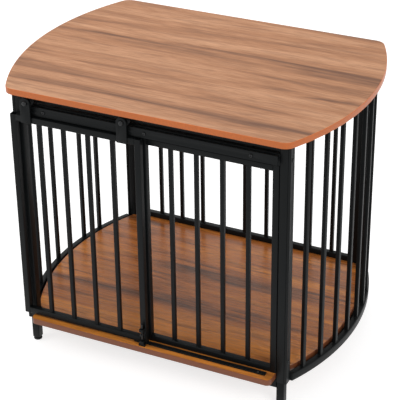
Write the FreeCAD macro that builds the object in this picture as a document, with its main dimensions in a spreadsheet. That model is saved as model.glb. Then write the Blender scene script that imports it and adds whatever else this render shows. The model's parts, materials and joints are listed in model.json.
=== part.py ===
"""Dog crate end table: a bow-ended table top on a square-tube cage with a sliding barred door.

Millimetres. X runs along the front, Y goes to the back and Z is up. The origin is on the floor,
in the middle of the overall length and depth. The table is long in X, its two ends are bowed,
and the door hangs on the left half of the front and slides to the right.
"""
import FreeCAD, Part
import math
import os
import Sketcher

# name: (size, what it is)
SIZES = {
    "overall_height": (700.0, "floor to the upper face of the table top"),
    "table_length": (850.0, "table top, over the two bows"),
    "table_depth": (600.0, "table top, front to back"),
    "table_thickness": (15.0, "table top board"),
    "end_bow": (78.0, "how far each bowed end stands out from its corners"),
    "table_corner": (28.0, "radius of the four corners of the table top"),
    "edge_band": (1.0, "thickness of the edge banding on both boards"),
    "frame_side_inset": (7.0, "posts inside the table top's corners, along X"),
    "frame_inset": (24.0, "posts behind the table top's straight edges"),
    "post_width": (20.0, "square tube of the four posts"),
    "post_wall": (1.0, "wall of the post tube"),
    "tube_corner": (1.5, "broken outer corners of the frame tubes"),
    "spigot_gap": (0.15, "clearance of a leg's spigot in its post, each side"),
    "joint_height": (66.0, "floor to the joint between leg and post"),
    "leg_width": (19.0, "square tube of the lower legs"),
    "leg_wall": (1.5, "wall of the leg tube"),
    "spigot_length": (45.0, "how far the leg's spigot goes up its post"),
    "foot_diameter": (21.0, "round pad of a foot"),
    "foot_pad_height": (6.0, "height of the pad"),
    "foot_neck_height": (1.5, "neck between pad and collar"),
    "foot_neck_diameter": (14.0, "neck of a foot"),
    "foot_collar_height": (1.5, "square collar that the leg tube stands on"),
    "foot_plug_length": (14.0, "square plug inside the leg tube"),
    "foot_plug_gap": (0.2, "clearance of the plug in the leg tube, each side"),
    "floor_top": (90.0, "floor to the upper face of the floor board"),
    "floor_thickness": (15.0, "floor board"),
    "lip_reach": (35.0, "how far the floor board stands out in front of the posts"),
    "lip_corner": (12.0, "radius of the lip's two corners"),
    "board_gap": (1.5, "gap from the floor board to the posts"),
    "floor_edge_gap": (8.0, "gap from the floor board to the bowed side rails"),
    "base_rail_height": (25.0, "front and back base rails"),
    "frame_wall": (1.2, "wall of the rails and braces"),
    "brace_width": (20.0, "two braces under the floor board"),
    "brace_inset": (210.0, "middles of the two braces from the posts' inner faces"),
    "side_inset": (15.0, "bowed side rails lie this far inside the table edge"),
    "side_rail_width": (15.0, "bowed side rails, radially"),
    "side_rail_height": (20.0, "lower bowed rail"),
    "bent_corner": (1.2, "broken corners of the lower bowed rail"),
    "side_top_height": (6.0, "upper bowed rail, a flat bar under the table top"),
    "side_stile_thickness": (6.0, "flat end stiles on the outer faces of the posts"),
    "weld_gap": (0.5, "gap behind the posts where the bowed rails end"),
    "bar_width": (9.5, "square bars of all grilles"),
    "bar_chamfer": (1.0, "broken corners of the bars"),
    "side_bar_count": (8, "bars in each bowed side"),
    "side_bar_pitch": (63.0, "bar pitch along the bow"),
    "panel_overlap": (17.5, "how far each half of the front reaches past the middle"),
    "panel_tube": (15.0, "square tube of the panels and the door"),
    "panel_wall": (1.0, "wall of the panel tube"),
    "panel_corner": (1.2, "broken outer corners of the panel tube"),
    "panel_bar_count": (4, "bars in the fixed panel and in the door"),
    "panel_post_gap": (1.5, "gap from the panels to the posts"),
    "back_bar_count": (9, "bars in the back panel"),
    "top_rail_height": (20.0, "front and back rails under the table top"),
    "mount_rail_height": (30.0, "rail behind the track"),
    "mount_rail_gap": (5.0, "slot between that rail and the front top rail"),
    "track_height": (22.0, "flat track bar"),
    "track_thickness": (4.0, "flat track bar"),
    "track_standoff": (8.0, "spacers behind the track"),
    "track_rise": (7.0, "lower edge of the track above the lower face of its rail"),
    "track_bolt_inset": (62.5, "outer track bolts from the track's ends"),
    "bolt_diameter": (5.0, "shank of the frame bolts"),
    "bolt_hole_gap": (0.25, "clearance of a bolt in its hole, all round"),
    "bolt_head_diameter": (9.0, "button head"),
    "bolt_head_height": (2.6, "button head"),
    "spacer_diameter": (10.0, "track spacers"),
    "panel_bolt_inset": (44.5, "bolts up into the track's rail from the fixed panel's sides"),
    "side_bolt_inset": (40.0, "upper side panel bolts below the table top"),
    "side_bolt_rise": (14.0, "lower side panel bolts above the leg's spigot"),
    "back_bolt_inset": (80.0, "back panel bolts from the panel's ends"),
    "back_panel_gap": (3.0, "gap over the back panel, for the heads of the table top's screws"),
    "screw_diameter": (4.0, "wood screws"),
    "screw_bite": (9.0, "how deep the wood screws go into a board"),
    "screw_head_diameter": (8.0, "wood screw head"),
    "screw_head_height": (2.0, "wood screw head"),
    "pilot_gap": (0.05, "clearance of a wood screw in its pilot hole, all round"),
    "door_overhang": (2.0, "closed door beyond the outer face of the left post"),
    "door_stand_off": (6.0, "gap from the frame's front to the back of the door"),
    "door_top_gap": (2.5, "door below the track"),
    "door_floor_gap": (4.5, "door above the floor board"),
    "hanger_width": (26.0, "roller hanger plates"),
    "hanger_thickness": (3.0, "roller hanger plates"),
    "hanger_inset": (44.0, "middles of the hangers from the door's sides"),
    "tread_radius": (10.5, "rollers, on the track"),
    "flange_height": (3.0, "roller flanges beside the track"),
    "roller_width": (10.0, "over both flanges"),
    "groove_gap": (0.3, "roller groove beside the track, each side"),
    "flange_slope": (0.6, "how much the groove widens outwards, each side"),
    "tread_gap": (0.2, "roller tread above the track"),
    "axle_diameter": (6.0, "roller axle"),
    "axle_run": (0.06, "running clearance of a roller on its axle"),
    "axle_head_diameter": (12.0, "axle head in front of the hanger"),
    "axle_head_height": (4.0, "axle head in front of the hanger"),
    "axle_collar_diameter": (10.0, "collar between hanger and roller"),
    "axle_end_diameter": (9.0, "riveted end behind the roller"),
    "axle_end_height": (2.0, "riveted end behind the roller"),
    "axle_play": (0.3, "end play of a roller, each side"),
    "guide_width": (12.0, "guide channel on the lip"),
    "guide_height": (3.6, "guide channel on the lip"),
    "guide_slot": (6.4, "slot of the guide channel"),
    "guide_base": (1.0, "floor of the guide channel"),
    "guide_end": (2.0, "closed ends of the guide channel"),
    "guide_screw_inset": (20.0, "screws in the guide channel's floor from its two ends"),
    "guide_screw_diameter": (3.0, "screws in the guide channel's floor"),
    "guide_lead": (10.0, "channel to the left of the pin of the closed door"),
    "guide_run_out": (5.0, "channel to the right of the pin of the open door"),
    "pin_diameter": (5.4, "guide pin under the door"),
    "pin_tip_gap": (0.5, "guide pin above the channel's floor"),
    "pin_inset": (24.0, "guide pin from the door's right edge"),
    "latch_bolt_diameter": (6.0, "drop bolt of the latch"),
    "latch_bolt_length": (50.0, "drop bolt of the latch"),
    "latch_run": (0.2, "clearance of the drop bolt in its loops"),
    "latch_width": (11.0, "latch housing"),
    "latch_plate": (1.5, "back plate of the latch"),
    "latch_height": (40.0, "latch housing"),
    "latch_loop": (7.0, "height of each loop"),
    "latch_rise": (7.0, "housing above the floor board"),
    "latch_wall": (2.4, "metal in front of the drop bolt"),
    "latch_lift": (10.0, "raised drop bolt's tip above the floor board"),
    "latch_knob_diameter": (5.0, "knob of the drop bolt"),
    "latch_knob_drop": (28.0, "knob below the top of the drop bolt"),
    "latch_knob_reach": (2.6, "knob in front of the loops"),
    "keeper_height": (6.0, "keeper on the lip"),
    "keeper_width": (16.0, "keeper on the lip"),
    "keeper_wall": (1.2, "metal in front of and behind the keeper's hole"),
    "keeper_gap": (0.5, "clearance of the drop bolt in the keeper, each side"),
    "fit_gap": (0.3, "plain clearance between close pieces"),
}

doc = FreeCAD.newDocument("dog_crate_end_table")
sheet = doc.addObject("Spreadsheet::Sheet", "sizes")
for row, (alias, (number, meaning)) in enumerate(SIZES.items(), start=1):
    sheet.set("A%d" % row, meaning)
    sheet.set("B%d" % row, str(number))
    sheet.setAlias("B%d" % row, alias)
doc.recompute()


class Size:
    """A number read from the sheet together with the formula that gives it there."""

    def __init__(self, number, formula):
        self.number = float(number)
        self.formula = formula

    def __add__(self, other):
        other = as_size(other)
        return Size(self.number + other.number, "(%s + %s)" % (self.formula, other.formula))

    def __sub__(self, other):
        other = as_size(other)
        return Size(self.number - other.number, "(%s - %s)" % (self.formula, other.formula))

    def __mul__(self, other):
        other = as_size(other)
        return Size(self.number * other.number, "(%s * %s)" % (self.formula, other.formula))

    def __truediv__(self, other):
        other = as_size(other)
        return Size(self.number / other.number, "(%s / %s)" % (self.formula, other.formula))

    def __neg__(self):
        return Size(-self.number, "(0 - %s)" % self.formula)

    def __float__(self):
        return self.number


def as_size(thing):
    if isinstance(thing, Size):
        return thing
    return Size(thing, repr(float(thing)))


def root(size):
    return Size(math.sqrt(size.number), "sqrt(%s)" % size.formula)


def cell(alias):
    return Size(getattr(sheet, alias), "sizes.%s" % alias)


class Cells:
    """The sheet's cells as named attributes."""


c = Cells()
for alias in SIZES:
    setattr(c, alias, cell(alias))

ZERO = Size(0.0, "0")
finished = []


def bind(obj, prop, size):
    obj.setExpression(prop, as_size(size).formula)


def place(obj, at, turn=0.0):
    """Puts an object at a bound position, turned about Z by a whole number of degrees."""
    obj.Placement = FreeCAD.Placement(
        FreeCAD.Vector(*[float(v) for v in at]), FreeCAD.Rotation(FreeCAD.Vector(0, 0, 1), turn)
    )
    for axis, value in zip("xyz", at):
        bind(obj, "Placement.Base.%s" % axis, value)


def finish(obj, label):
    """The object is a sub-part: its label names its file."""
    obj.Label = label
    finished.append(obj)
    return obj


def new_body(name):
    body = doc.addObject("PartDesign::Body", name)
    body.AllowCompound = True
    return body


def origin_part(body, role):
    for feature in body.Origin.OriginFeatures:
        if feature.Role == role:
            return feature
    raise ValueError("no origin feature %s" % role)


def new_sketch(body, role, name):
    sketch = body.newObject("Sketcher::SketchObject", name)
    sketch.AttachmentSupport = (origin_part(body, role), [""])
    sketch.MapMode = "FlatFace"
    return sketch


def fix_point(sketch, geometry, end, x, y, tag):
    """Holds a sketch point at bound coordinates from the sketch's origin."""
    for direction, axis, value in (("DistanceX", -2, x), ("DistanceY", -1, y)):
        value = as_size(value)
        if value.number == 0.0:
            sketch.addConstraint(Sketcher.Constraint("PointOnObject", geometry, end, axis))
            continue
        index = sketch.addConstraint(
            Sketcher.Constraint(direction, -1, 1, geometry, end, value.number)
        )
        name = "%s_%s" % (tag, direction[-1].lower())
        sketch.renameConstraint(index, name)
        bind(sketch, "Constraints.%s" % name, value)


def polygon(sketch, points, tag="corner"):
    """A closed outline through bound points."""
    first = sketch.GeometryCount
    numbers = [FreeCAD.Vector(float(x), float(y), 0) for x, y in points]
    for index, start in enumerate(numbers):
        stop = numbers[(index + 1) % len(numbers)]
        sketch.addGeometry(Part.LineSegment(start, stop), False)
    for index in range(len(points)):
        following = first + (index + 1) % len(points)
        sketch.addConstraint(Sketcher.Constraint("Coincident", first + index, 2, following, 1))
    for index, (x, y) in enumerate(points):
        fix_point(sketch, first + index, 1, x, y, "%s%d" % (tag, index))


def rectangle(wide, high):
    half_wide = wide / 2
    half_high = high / 2
    return [
        (-half_wide, -half_high),
        (half_wide, -half_high),
        (half_wide, half_high),
        (-half_wide, half_high),
    ]


def bar_outline(wide, chamfer, middle=ZERO):
    """A square bar's section with broken corners, its middle moved along the sketch's x."""
    half = wide / 2
    inner = half - chamfer
    corners = [
        (-half, -inner), (-inner, -half), (inner, -half), (half, -inner),
        (half, inner), (inner, half), (-inner, half), (-half, inner),
    ]
    return [(middle + x, y) for x, y in corners]


def pad(body, sketch, length, name, reverse=False):
    feature = body.newObject("PartDesign::Pad", name)
    feature.Profile = sketch
    feature.Reversed = reverse
    bind(feature, "Length", length)
    sketch.Visibility = False
    return feature


def long_edges(shape, direction, straight=True):
    """Names of the edges that run along a direction, or of the long arcs."""
    names = []
    for index, edge in enumerate(shape.Edges, start=1):
        is_line = edge.Curve.TypeId == "Part::GeomLine"
        if straight and is_line and abs(edge.tangentAt(edge.FirstParameter).dot(direction)) > 0.999:
            names.append("Edge%d" % index)
        if not straight and not is_line:
            names.append("Edge%d" % index)
    return names


def fillet(body, base, names, radius, name):
    feature = body.newObject("PartDesign::Fillet", name)
    feature.Base = (base, names)
    bind(feature, "Radius", radius)
    return feature


def chamfer(body, base, names, size, name):
    feature = body.newObject("PartDesign::Chamfer", name)
    feature.Base = (base, names)
    bind(feature, "Size", size)
    return feature


ROLES = {"X": ("YZ_Plane", False), "Y": ("XZ_Plane", True), "Z": ("XY_Plane", False)}
DIRECTIONS = {
    "X": FreeCAD.Vector(1, 0, 0), "Y": FreeCAD.Vector(0, 1, 0), "Z": FreeCAD.Vector(0, 0, 1)
}


def tube(name, axis, wide, high, length, wall, corner, at):
    """A rolled rectangular tube along an axis, hollow, from the middle of its starting end."""
    role, backwards = ROLES[axis]
    body = new_body(name)
    outer = new_sketch(body, role, name + "_outline")
    polygon(outer, rectangle(wide, high))
    solid = pad(body, outer, length, name + "_length", backwards)
    doc.recompute()
    rounded = chamfer(body, solid, long_edges(solid.Shape, DIRECTIONS[axis]), corner,
                      name + "_corners")
    bore = new_sketch(body, role, name + "_bore_outline")
    polygon(bore, rectangle(wide - wall * 2, high - wall * 2))
    pocket = body.newObject("PartDesign::Pocket", name + "_bore")
    pocket.Profile = bore
    pocket.Type = "ThroughAll"
    pocket.Reversed = not backwards
    bore.Visibility = False
    body.Tip = pocket
    doc.recompute()
    if not pocket.Shape.Volume < rounded.Shape.Volume * 0.9:
        raise ValueError("the bore of %s cuts nothing" % name)
    place(body, at)
    return body


def box(name, low, size):
    """A block from its lowest corner."""
    block = doc.addObject("Part::Box", name)
    bind(block, "Length", size[0])
    bind(block, "Width", size[1])
    bind(block, "Height", size[2])
    place(block, low)
    return block


TURNS = {
    "+X": FreeCAD.Rotation(FreeCAD.Vector(0, 1, 0), 90),
    "-X": FreeCAD.Rotation(FreeCAD.Vector(0, 1, 0), -90),
    "+Y": FreeCAD.Rotation(FreeCAD.Vector(1, 0, 0), -90),
    "-Y": FreeCAD.Rotation(FreeCAD.Vector(1, 0, 0), 90),
    "+Z": FreeCAD.Rotation(),
    "-Z": FreeCAD.Rotation(FreeCAD.Vector(1, 0, 0), 180),
}


def rod(name, radius, length, at, toward):
    """A cylinder from the middle of one end, along a signed axis."""
    cylinder = doc.addObject("Part::Cylinder", name)
    bind(cylinder, "Radius", radius)
    bind(cylinder, "Height", length)
    place(cylinder, at)
    cylinder.Placement.Rotation = TURNS[toward]
    return cylinder


def joined(name, pieces):
    group = doc.addObject("Part::MultiFuse", name)
    group.Shapes = pieces
    return group


def cut(name, base, tools):
    """A piece with holes or slots, all made by primitives."""
    tool = tools[0]
    if len(tools) > 1:
        tool = joined(name + "_tools", tools)
    result = doc.addObject("Part::Cut", name)
    result.Base = base
    result.Tool = tool
    return result


def grouped(name, pieces):
    """Identical pieces in one sub-part, each a solid of its own."""
    group = doc.addObject("Part::Compound", name)
    group.Links = pieces
    return finish(group, name)


def prism(name, radius, length, at, toward, sides):
    """A regular prism around a circle of that radius, from the middle of one end."""
    piece = doc.addObject("Part::Prism", name)
    piece.Polygon = sides
    bind(piece, "Circumradius", as_size(radius) / math.cos(math.pi / sides))
    bind(piece, "Height", length)
    place(piece, at)
    piece.Placement.Rotation = TURNS[toward]
    return piece


HOLE_SIDES = 8
AXLE_SIDES = 24
ROLLER_SIDES = 40


def drilled(name, base, holes, radius, sides=HOLE_SIDES):
    """A piece with holes: each hole is its starting point, its length and its direction."""
    tools = []
    for index, (at, length, toward) in enumerate(holes, start=1):
        tools.append(prism("%s_hole_%d" % (name, index), radius, length, at, toward, sides))
    return cut(name, base, tools)


def facet_ring(radius, height, sides):
    turn = 2 * math.pi / sides
    return [FreeCAD.Vector(radius * math.cos(turn * step), radius * math.sin(turn * step), height)
            for step in range(sides + 1)]


def facet_solid(points, sides, ring=False):
    """A turned solid about Z with few faces, from its section: radius, then height."""
    rings = [facet_ring(float(radius), float(height), sides) for radius, height in points]
    following = rings[1:] + rings[:1] if ring else rings[1:]
    ends = [] if ring else [rings[0], rings[-1]]
    faces = [Part.Face(Part.makePolygon(end)) for end in ends]
    for low, high in zip(rings, following):
        for step in range(sides):
            corners = [low[step], low[step + 1], high[step + 1], high[step], low[step]]
            faces.append(Part.Face(Part.makePolygon(corners)))
    solid = Part.makeSolid(Part.makeShell(faces))
    if solid.Volume < 0:
        solid.reverse()
    return solid


def facet_turned(name, points, at, toward, sides, ring=False):
    """A turned piece with few faces, about an axis through a point."""
    piece = doc.addObject("Part::Feature", name)
    piece.Shape = facet_solid(points, sides, ring)
    place(piece, at)
    piece.Placement.Rotation = TURNS[toward]
    return piece


def bolt_shape(head_radius, head_height, shank_radius, shank_length):
    """A plain-headed bolt along +Z: the underside of its head is at the origin."""
    section = [
        (head_radius * 0.8, -head_height), (head_radius, 0), (shank_radius, 0),
        (shank_radius, shank_length),
    ]
    return facet_solid(section, HOLE_SIDES)


def fasteners(name, spots, head_diameter, head_height, shank_diameter, shank_length):
    """Identical fasteners as separate solids: each spot is under its head, with the shank's way."""
    shapes = []
    for at, toward in spots:
        one = bolt_shape(
            float(head_diameter) / 2, float(head_height), float(shank_diameter) / 2,
            float(shank_length)
        )
        one.Placement = FreeCAD.Placement(FreeCAD.Vector(*[float(v) for v in at]), TURNS[toward])
        shapes.append(one)
    group = doc.addObject("Part::Feature", name)
    group.Shape = Part.makeCompound(shapes)
    return finish(group, name)


# ---------------------------------------------------------------- places shared by the pieces
half_length = c.table_length / 2
half_depth = c.table_depth / 2
frame_length = c.table_length - c.end_bow * 2 - c.frame_side_inset * 2
frame_depth = c.table_depth - c.frame_inset * 2
lip_front_reach = frame_depth / 2 + c.lip_reach
middle_y = (lip_front_reach - half_depth) / 2
front_y = middle_y - frame_depth / 2
back_y = middle_y + frame_depth / 2
lip_front_y = front_y - c.lip_reach
inner_x = frame_length / 2 - c.post_width
post_x = frame_length / 2 - c.post_width / 2
front_post_y = front_y + c.post_width / 2
back_post_y = back_y - c.post_width / 2
table_underside = c.overall_height - c.table_thickness
floor_underside = c.floor_top - c.floor_thickness
bow_radius = (half_depth * half_depth + c.end_bow * c.end_bow) / (c.end_bow * 2)
bow_middle_x = half_length - bow_radius
side_outer_radius = bow_radius - c.side_inset
side_inner_radius = side_outer_radius - c.side_rail_width
bar_circle_radius = side_outer_radius - c.side_rail_width / 2
floor_radius = side_inner_radius - c.floor_edge_gap
rail_bottom = table_underside - c.top_rail_height - c.mount_rail_gap - c.mount_rail_height
track_bottom = rail_bottom + c.track_rise
track_top = track_bottom + c.track_height
track_middle_z = track_bottom + c.track_height / 2
track_back_y = front_y - c.track_standoff
track_front_y = track_back_y - c.track_thickness
track_middle_y = track_back_y - c.track_thickness / 2
track_length = inner_x * 2
panel_width = inner_x - c.panel_post_gap + c.panel_overlap
door_left_x = -frame_length / 2 - c.door_overhang
door_right_x = door_left_x + panel_width
fixed_right_x = inner_x - c.panel_post_gap
fixed_left_x = fixed_right_x - panel_width
door_travel = fixed_right_x - door_right_x
pin_x = door_right_x - c.pin_inset
guide_start = pin_x - c.guide_lead
guide_stop = pin_x + door_travel + c.guide_run_out

# ---------------------------------------------------------------- table top and its edge band


def bowed_board(name, inset):
    """The table top's outline: straight front and back, bowed ends, four round corners."""
    body = new_body(name)
    sketch = new_sketch(body, "XY_Plane", name + "_outline")
    radius = bow_radius - inset
    reach = half_depth - inset
    corner_x = bow_middle_x + root(radius * radius - reach * reach)
    half_angle = math.asin(reach.number / radius.number)
    up = FreeCAD.Vector(0, 0, 1)
    front = (FreeCAD.Vector(-corner_x.number, -reach.number, 0),
             FreeCAD.Vector(corner_x.number, -reach.number, 0))
    back = (FreeCAD.Vector(corner_x.number, reach.number, 0),
            FreeCAD.Vector(-corner_x.number, reach.number, 0))
    right = Part.Circle(FreeCAD.Vector(bow_middle_x.number, 0, 0), up, radius.number)
    left = Part.Circle(FreeCAD.Vector(-bow_middle_x.number, 0, 0), up, radius.number)
    sketch.addGeometry(Part.LineSegment(*front), False)
    sketch.addGeometry(Part.ArcOfCircle(right, -half_angle, half_angle), False)
    sketch.addGeometry(Part.LineSegment(*back), False)
    sketch.addGeometry(Part.ArcOfCircle(left, math.pi - half_angle, math.pi + half_angle), False)
    for first, first_end, second, second_end in ((0, 2, 1, 1), (1, 2, 2, 1), (2, 2, 3, 1), (3, 2, 0, 1)):
        sketch.addConstraint(Sketcher.Constraint("Coincident", first, first_end, second, second_end))
    for arc, middle, tag in ((1, bow_middle_x, "right"), (3, -bow_middle_x, "left")):
        fix_point(sketch, arc, 3, middle, ZERO, tag + "_middle")
        index = sketch.addConstraint(Sketcher.Constraint("Radius", arc, radius.number))
        sketch.renameConstraint(index, tag + "_radius")
        bind(sketch, "Constraints.%s_radius" % tag, radius)
    for line, y, tag in ((0, -reach, "front"), (2, reach, "back")):
        sketch.addConstraint(Sketcher.Constraint("Horizontal", line))
        index = sketch.addConstraint(Sketcher.Constraint("DistanceY", -1, 1, line, 1, y.number))
        sketch.renameConstraint(index, tag + "_line")
        bind(sketch, "Constraints.%s_line" % tag, y)
    board = pad(body, sketch, c.table_thickness, name + "_thickness")
    doc.recompute()
    corners = long_edges(board.Shape, DIRECTIONS["Z"])
    rounded = fillet(body, board, corners, c.table_corner - inset, name + "_corners")
    body.Tip = rounded
    place(body, (ZERO, middle_y, table_underside))
    return body


brace_x = inner_x - c.brace_inset
table_screw_x = (inner_x - c.brace_width, ZERO, c.brace_width - inner_x)
top_rail_bottom = table_underside - c.top_rail_height
pilot_radius = c.screw_diameter / 2 + c.pilot_gap
table_screw_spots = [(x, y) for x in table_screw_x for y in (front_post_y, back_post_y)]

table_core = bowed_board("table_core", c.edge_band)
table_pilots = [((x, y, table_underside), c.screw_bite, "+Z") for x, y in table_screw_spots]
table_top = finish(drilled("table_top", table_core, table_pilots, pilot_radius), "table_top")
table_blank = bowed_board("table_blank", ZERO)
finish(cut("table_top_edge_band", table_blank, [table_core]), "table_top_edge_band")

# ---------------------------------------------------------------- floor board and its edge band


def round_corners(name, base, radius, wanted):
    """Rounds the upright edges that stand at the wanted places."""
    doc.recompute()
    edges = []
    for index, edge in enumerate(base.Shape.Edges, start=1):
        ends = [vertex.Point for vertex in edge.Vertexes]
        upright = len(ends) == 2 and abs(ends[0].x - ends[1].x) + abs(ends[0].y - ends[1].y) < 1e-6
        for x, y in wanted:
            if upright and abs(ends[0].x - float(x)) < 1e-3 and abs(ends[0].y - float(y)) < 1e-3:
                edges.append((index, float(radius), float(radius)))
    feature = doc.addObject("Part::Fillet", name)
    feature.Base = base
    feature.Edges = edges
    return feature


def floor_blank(name, inset):
    """The floor board's outline: it passes between the posts in front and back and bows at the sides."""
    reach_x = inner_x - c.board_gap - inset
    reach_y = frame_depth / 2 - c.post_width - c.board_gap - inset
    start_y = lip_front_y + inset
    run = box(name + "_run", (-reach_x, start_y, floor_underside),
              (reach_x * 2, back_y - inset - start_y, c.floor_thickness))
    radius = floor_radius - inset
    right = rod(name + "_right_bow", radius, c.floor_thickness,
                (bow_middle_x, middle_y, floor_underside), "+Z")
    left = rod(name + "_left_bow", radius, c.floor_thickness,
               (-bow_middle_x, middle_y, floor_underside), "+Z")
    lens = doc.addObject("Part::Common", name + "_lens")
    lens.Base = right
    lens.Tool = left
    strip = box(name + "_strip", (-half_length, middle_y - reach_y, floor_underside),
                (c.table_length, reach_y * 2, c.floor_thickness))
    bows = doc.addObject("Part::Common", name + "_bows")
    bows.Base = lens
    bows.Tool = strip
    whole = doc.addObject("Part::Fuse", name + "_whole")
    whole.Base = run
    whole.Tool = bows
    whole.Refine = True
    spots = [(-reach_x, start_y), (reach_x, start_y)]
    return round_corners(name, whole, c.lip_corner - inset, spots)


floor_core = floor_blank("floor_core", c.edge_band)
floor_screw_spots = [(x, y) for x in (-brace_x, brace_x)
                     for y in (front_post_y + frame_depth / 4, back_post_y - frame_depth / 4)]
floor_pilots = [((x, y, floor_underside), c.screw_bite, "+Z") for x, y in floor_screw_spots]
guide_screw_x = (guide_start + c.guide_screw_inset, guide_stop - c.guide_screw_inset)
guide_line_y = front_y - c.door_stand_off - c.panel_tube / 2
guide_pilots = [((x, guide_line_y, c.floor_top), c.screw_bite + c.fit_gap, "-Z")
                for x in guide_screw_x]
floor_drilled = drilled("floor_board_drilled", floor_core, floor_pilots, pilot_radius)
guide_screw_hole = c.guide_screw_diameter / 2 + c.pilot_gap
finish(drilled("floor_board", floor_drilled, guide_pilots, guide_screw_hole), "floor_board")
floor_full = floor_blank("floor_full", ZERO)
finish(cut("floor_board_edge_band", floor_full, [floor_core]), "floor_board_edge_band")

# ---------------------------------------------------------------- posts, legs and feet
bolt_hole_radius = c.bolt_diameter / 2 + c.bolt_hole_gap
side_bolt_high = table_underside - c.side_bolt_inset
side_bolt_low = c.joint_height + c.spigot_length + c.side_bolt_rise
post_height = table_underside - c.joint_height
panel_bottom = c.floor_top
back_panel_top = table_underside - c.top_rail_height - c.back_panel_gap
back_panel_y = back_y - c.panel_tube / 2
back_bolt_low = panel_bottom + c.back_bolt_inset
back_bolt_high = back_panel_top - c.back_bolt_inset
CORNERS = {
    "front_left": (-1, front_post_y),
    "front_right": (1, front_post_y),
    "back_left": (-1, back_post_y),
    "back_right": (1, back_post_y),
}
for corner, (side, y) in CORNERS.items():
    x = post_x * side
    post = tube("post_" + corner + "_tube", "Z", c.post_width, c.post_width, post_height,
                c.post_wall, c.tube_corner, (x, y, c.joint_height))
    outward = "+X" if side > 0 else "-X"
    holes = [((x, y, z), c.post_width, outward) for z in (side_bolt_low, side_bolt_high)]
    if float(y) > float(middle_y):
        inward = "-X" if side > 0 else "+X"
        holes += [((x, back_panel_y, z), c.post_width, inward)
                  for z in (back_bolt_low, back_bolt_high)]
    finish(drilled("post_" + corner, post, holes, bolt_hole_radius), "post_" + corner)

foot_top = c.foot_pad_height + c.foot_neck_height + c.foot_collar_height
leg_bore = c.leg_width - c.leg_wall * 2
spigot_width = c.post_width - c.post_wall * 2 - c.spigot_gap * 2
for corner, (side, y) in CORNERS.items():
    name = "leg_" + corner
    body = new_body(name)
    outline = new_sketch(body, "XY_Plane", name + "_outline")
    polygon(outline, rectangle(c.leg_width, c.leg_width))
    lower = pad(body, outline, c.joint_height - foot_top, name + "_length")
    doc.recompute()
    chamfer(body, lower, long_edges(lower.Shape, DIRECTIONS["Z"]), c.tube_corner,
            name + "_corners")
    spigot_outline = new_sketch(body, "XY_Plane", name + "_spigot_outline")
    polygon(spigot_outline, rectangle(spigot_width, spigot_width))
    spigot = pad(body, spigot_outline, c.joint_height - foot_top + c.spigot_length,
                 name + "_spigot")
    bore = new_sketch(body, "XY_Plane", name + "_bore_outline")
    polygon(bore, rectangle(leg_bore, leg_bore))
    pocket = body.newObject("PartDesign::Pocket", name + "_bore")
    pocket.Profile = bore
    pocket.Type = "ThroughAll"
    pocket.Reversed = True
    body.Tip = pocket
    doc.recompute()
    if not pocket.Shape.Volume < spigot.Shape.Volume * 0.9:
        raise ValueError("the bore of %s cuts nothing" % name)
    place(body, (post_x * side, y, foot_top))
    finish(body, name)


foot_radius = c.foot_diameter / 2
neck_radius = c.foot_neck_diameter / 2
collar_bottom = c.foot_pad_height + c.foot_neck_height
plug_half = leg_bore / 2 - c.foot_plug_gap
feet = []
for corner, (side, y) in CORNERS.items():
    name = "foot_" + corner
    x = post_x * side
    disc = prism(name + "_pad", foot_radius, c.foot_pad_height, (x, y, ZERO), "+Z", AXLE_SIDES)
    neck = prism(name + "_neck", neck_radius, c.foot_neck_height, (x, y, c.foot_pad_height),
                 "+Z", HOLE_SIDES * 2)
    flange = box(name + "_collar", (x - c.leg_width / 2, y - c.leg_width / 2, collar_bottom),
                 (c.leg_width, c.leg_width, c.foot_collar_height))
    plug = box(name + "_plug", (x - plug_half, y - plug_half, foot_top),
               (plug_half * 2, plug_half * 2, c.foot_plug_length))
    feet.append(joined(name, [disc, neck, flange, plug]))
grouped("foot_glides", feet)

# ---------------------------------------------------------------- base rails and floor braces
base_rail_middle = floor_underside - c.base_rail_height / 2
for name, y in (("front_base_rail", front_post_y), ("back_base_rail", back_post_y)):
    rail = tube(name, "X", c.post_width, c.base_rail_height, inner_x * 2, c.frame_wall,
                c.tube_corner, (-inner_x, y, base_rail_middle))
    finish(rail, name)
brace_length = frame_depth - c.post_width * 2
braces = []
for name, x in (("floor_brace_left", -brace_x), ("floor_brace_right", brace_x)):
    brace = tube(name + "_tube", "Y", c.brace_width, c.brace_width, brace_length, c.frame_wall,
                 c.tube_corner, (x, front_y + c.post_width, floor_underside - c.brace_width / 2))
    ways = [((x, y, floor_underside - c.brace_width), c.brace_width, "+Z")
            for sx, y in floor_screw_spots if float(sx) == float(x)]
    braces.append(drilled(name, brace, ways, bolt_hole_radius))
grouped("floor_braces", braces)
fasteners(
    "floor_board_screws",
    [((x, y, floor_underside - c.brace_width), "+Z") for x, y in floor_screw_spots],
    c.screw_head_diameter, c.screw_head_height, c.screw_diameter,
    c.brace_width + c.screw_bite - c.fit_gap,
)

# ---------------------------------------------------------------- rails under the table top
top_rail_middle = table_underside - c.top_rail_height / 2
for name, y in (("front_top_rail", front_post_y), ("back_top_rail", back_post_y)):
    rail = tube(name + "_tube", "X", c.post_width, c.top_rail_height, inner_x * 2, c.frame_wall,
                c.tube_corner, (-inner_x, y, top_rail_middle))
    ways = [((x, y, top_rail_bottom), c.top_rail_height, "+Z") for x in table_screw_x]
    finish(drilled(name, rail, ways, bolt_hole_radius), name)
fasteners(
    "table_top_screws",
    [((x, y, top_rail_bottom), "+Z") for x, y in table_screw_spots],
    c.screw_head_diameter, c.screw_head_height, c.screw_diameter,
    c.top_rail_height + c.screw_bite - c.fit_gap,
)

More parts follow.
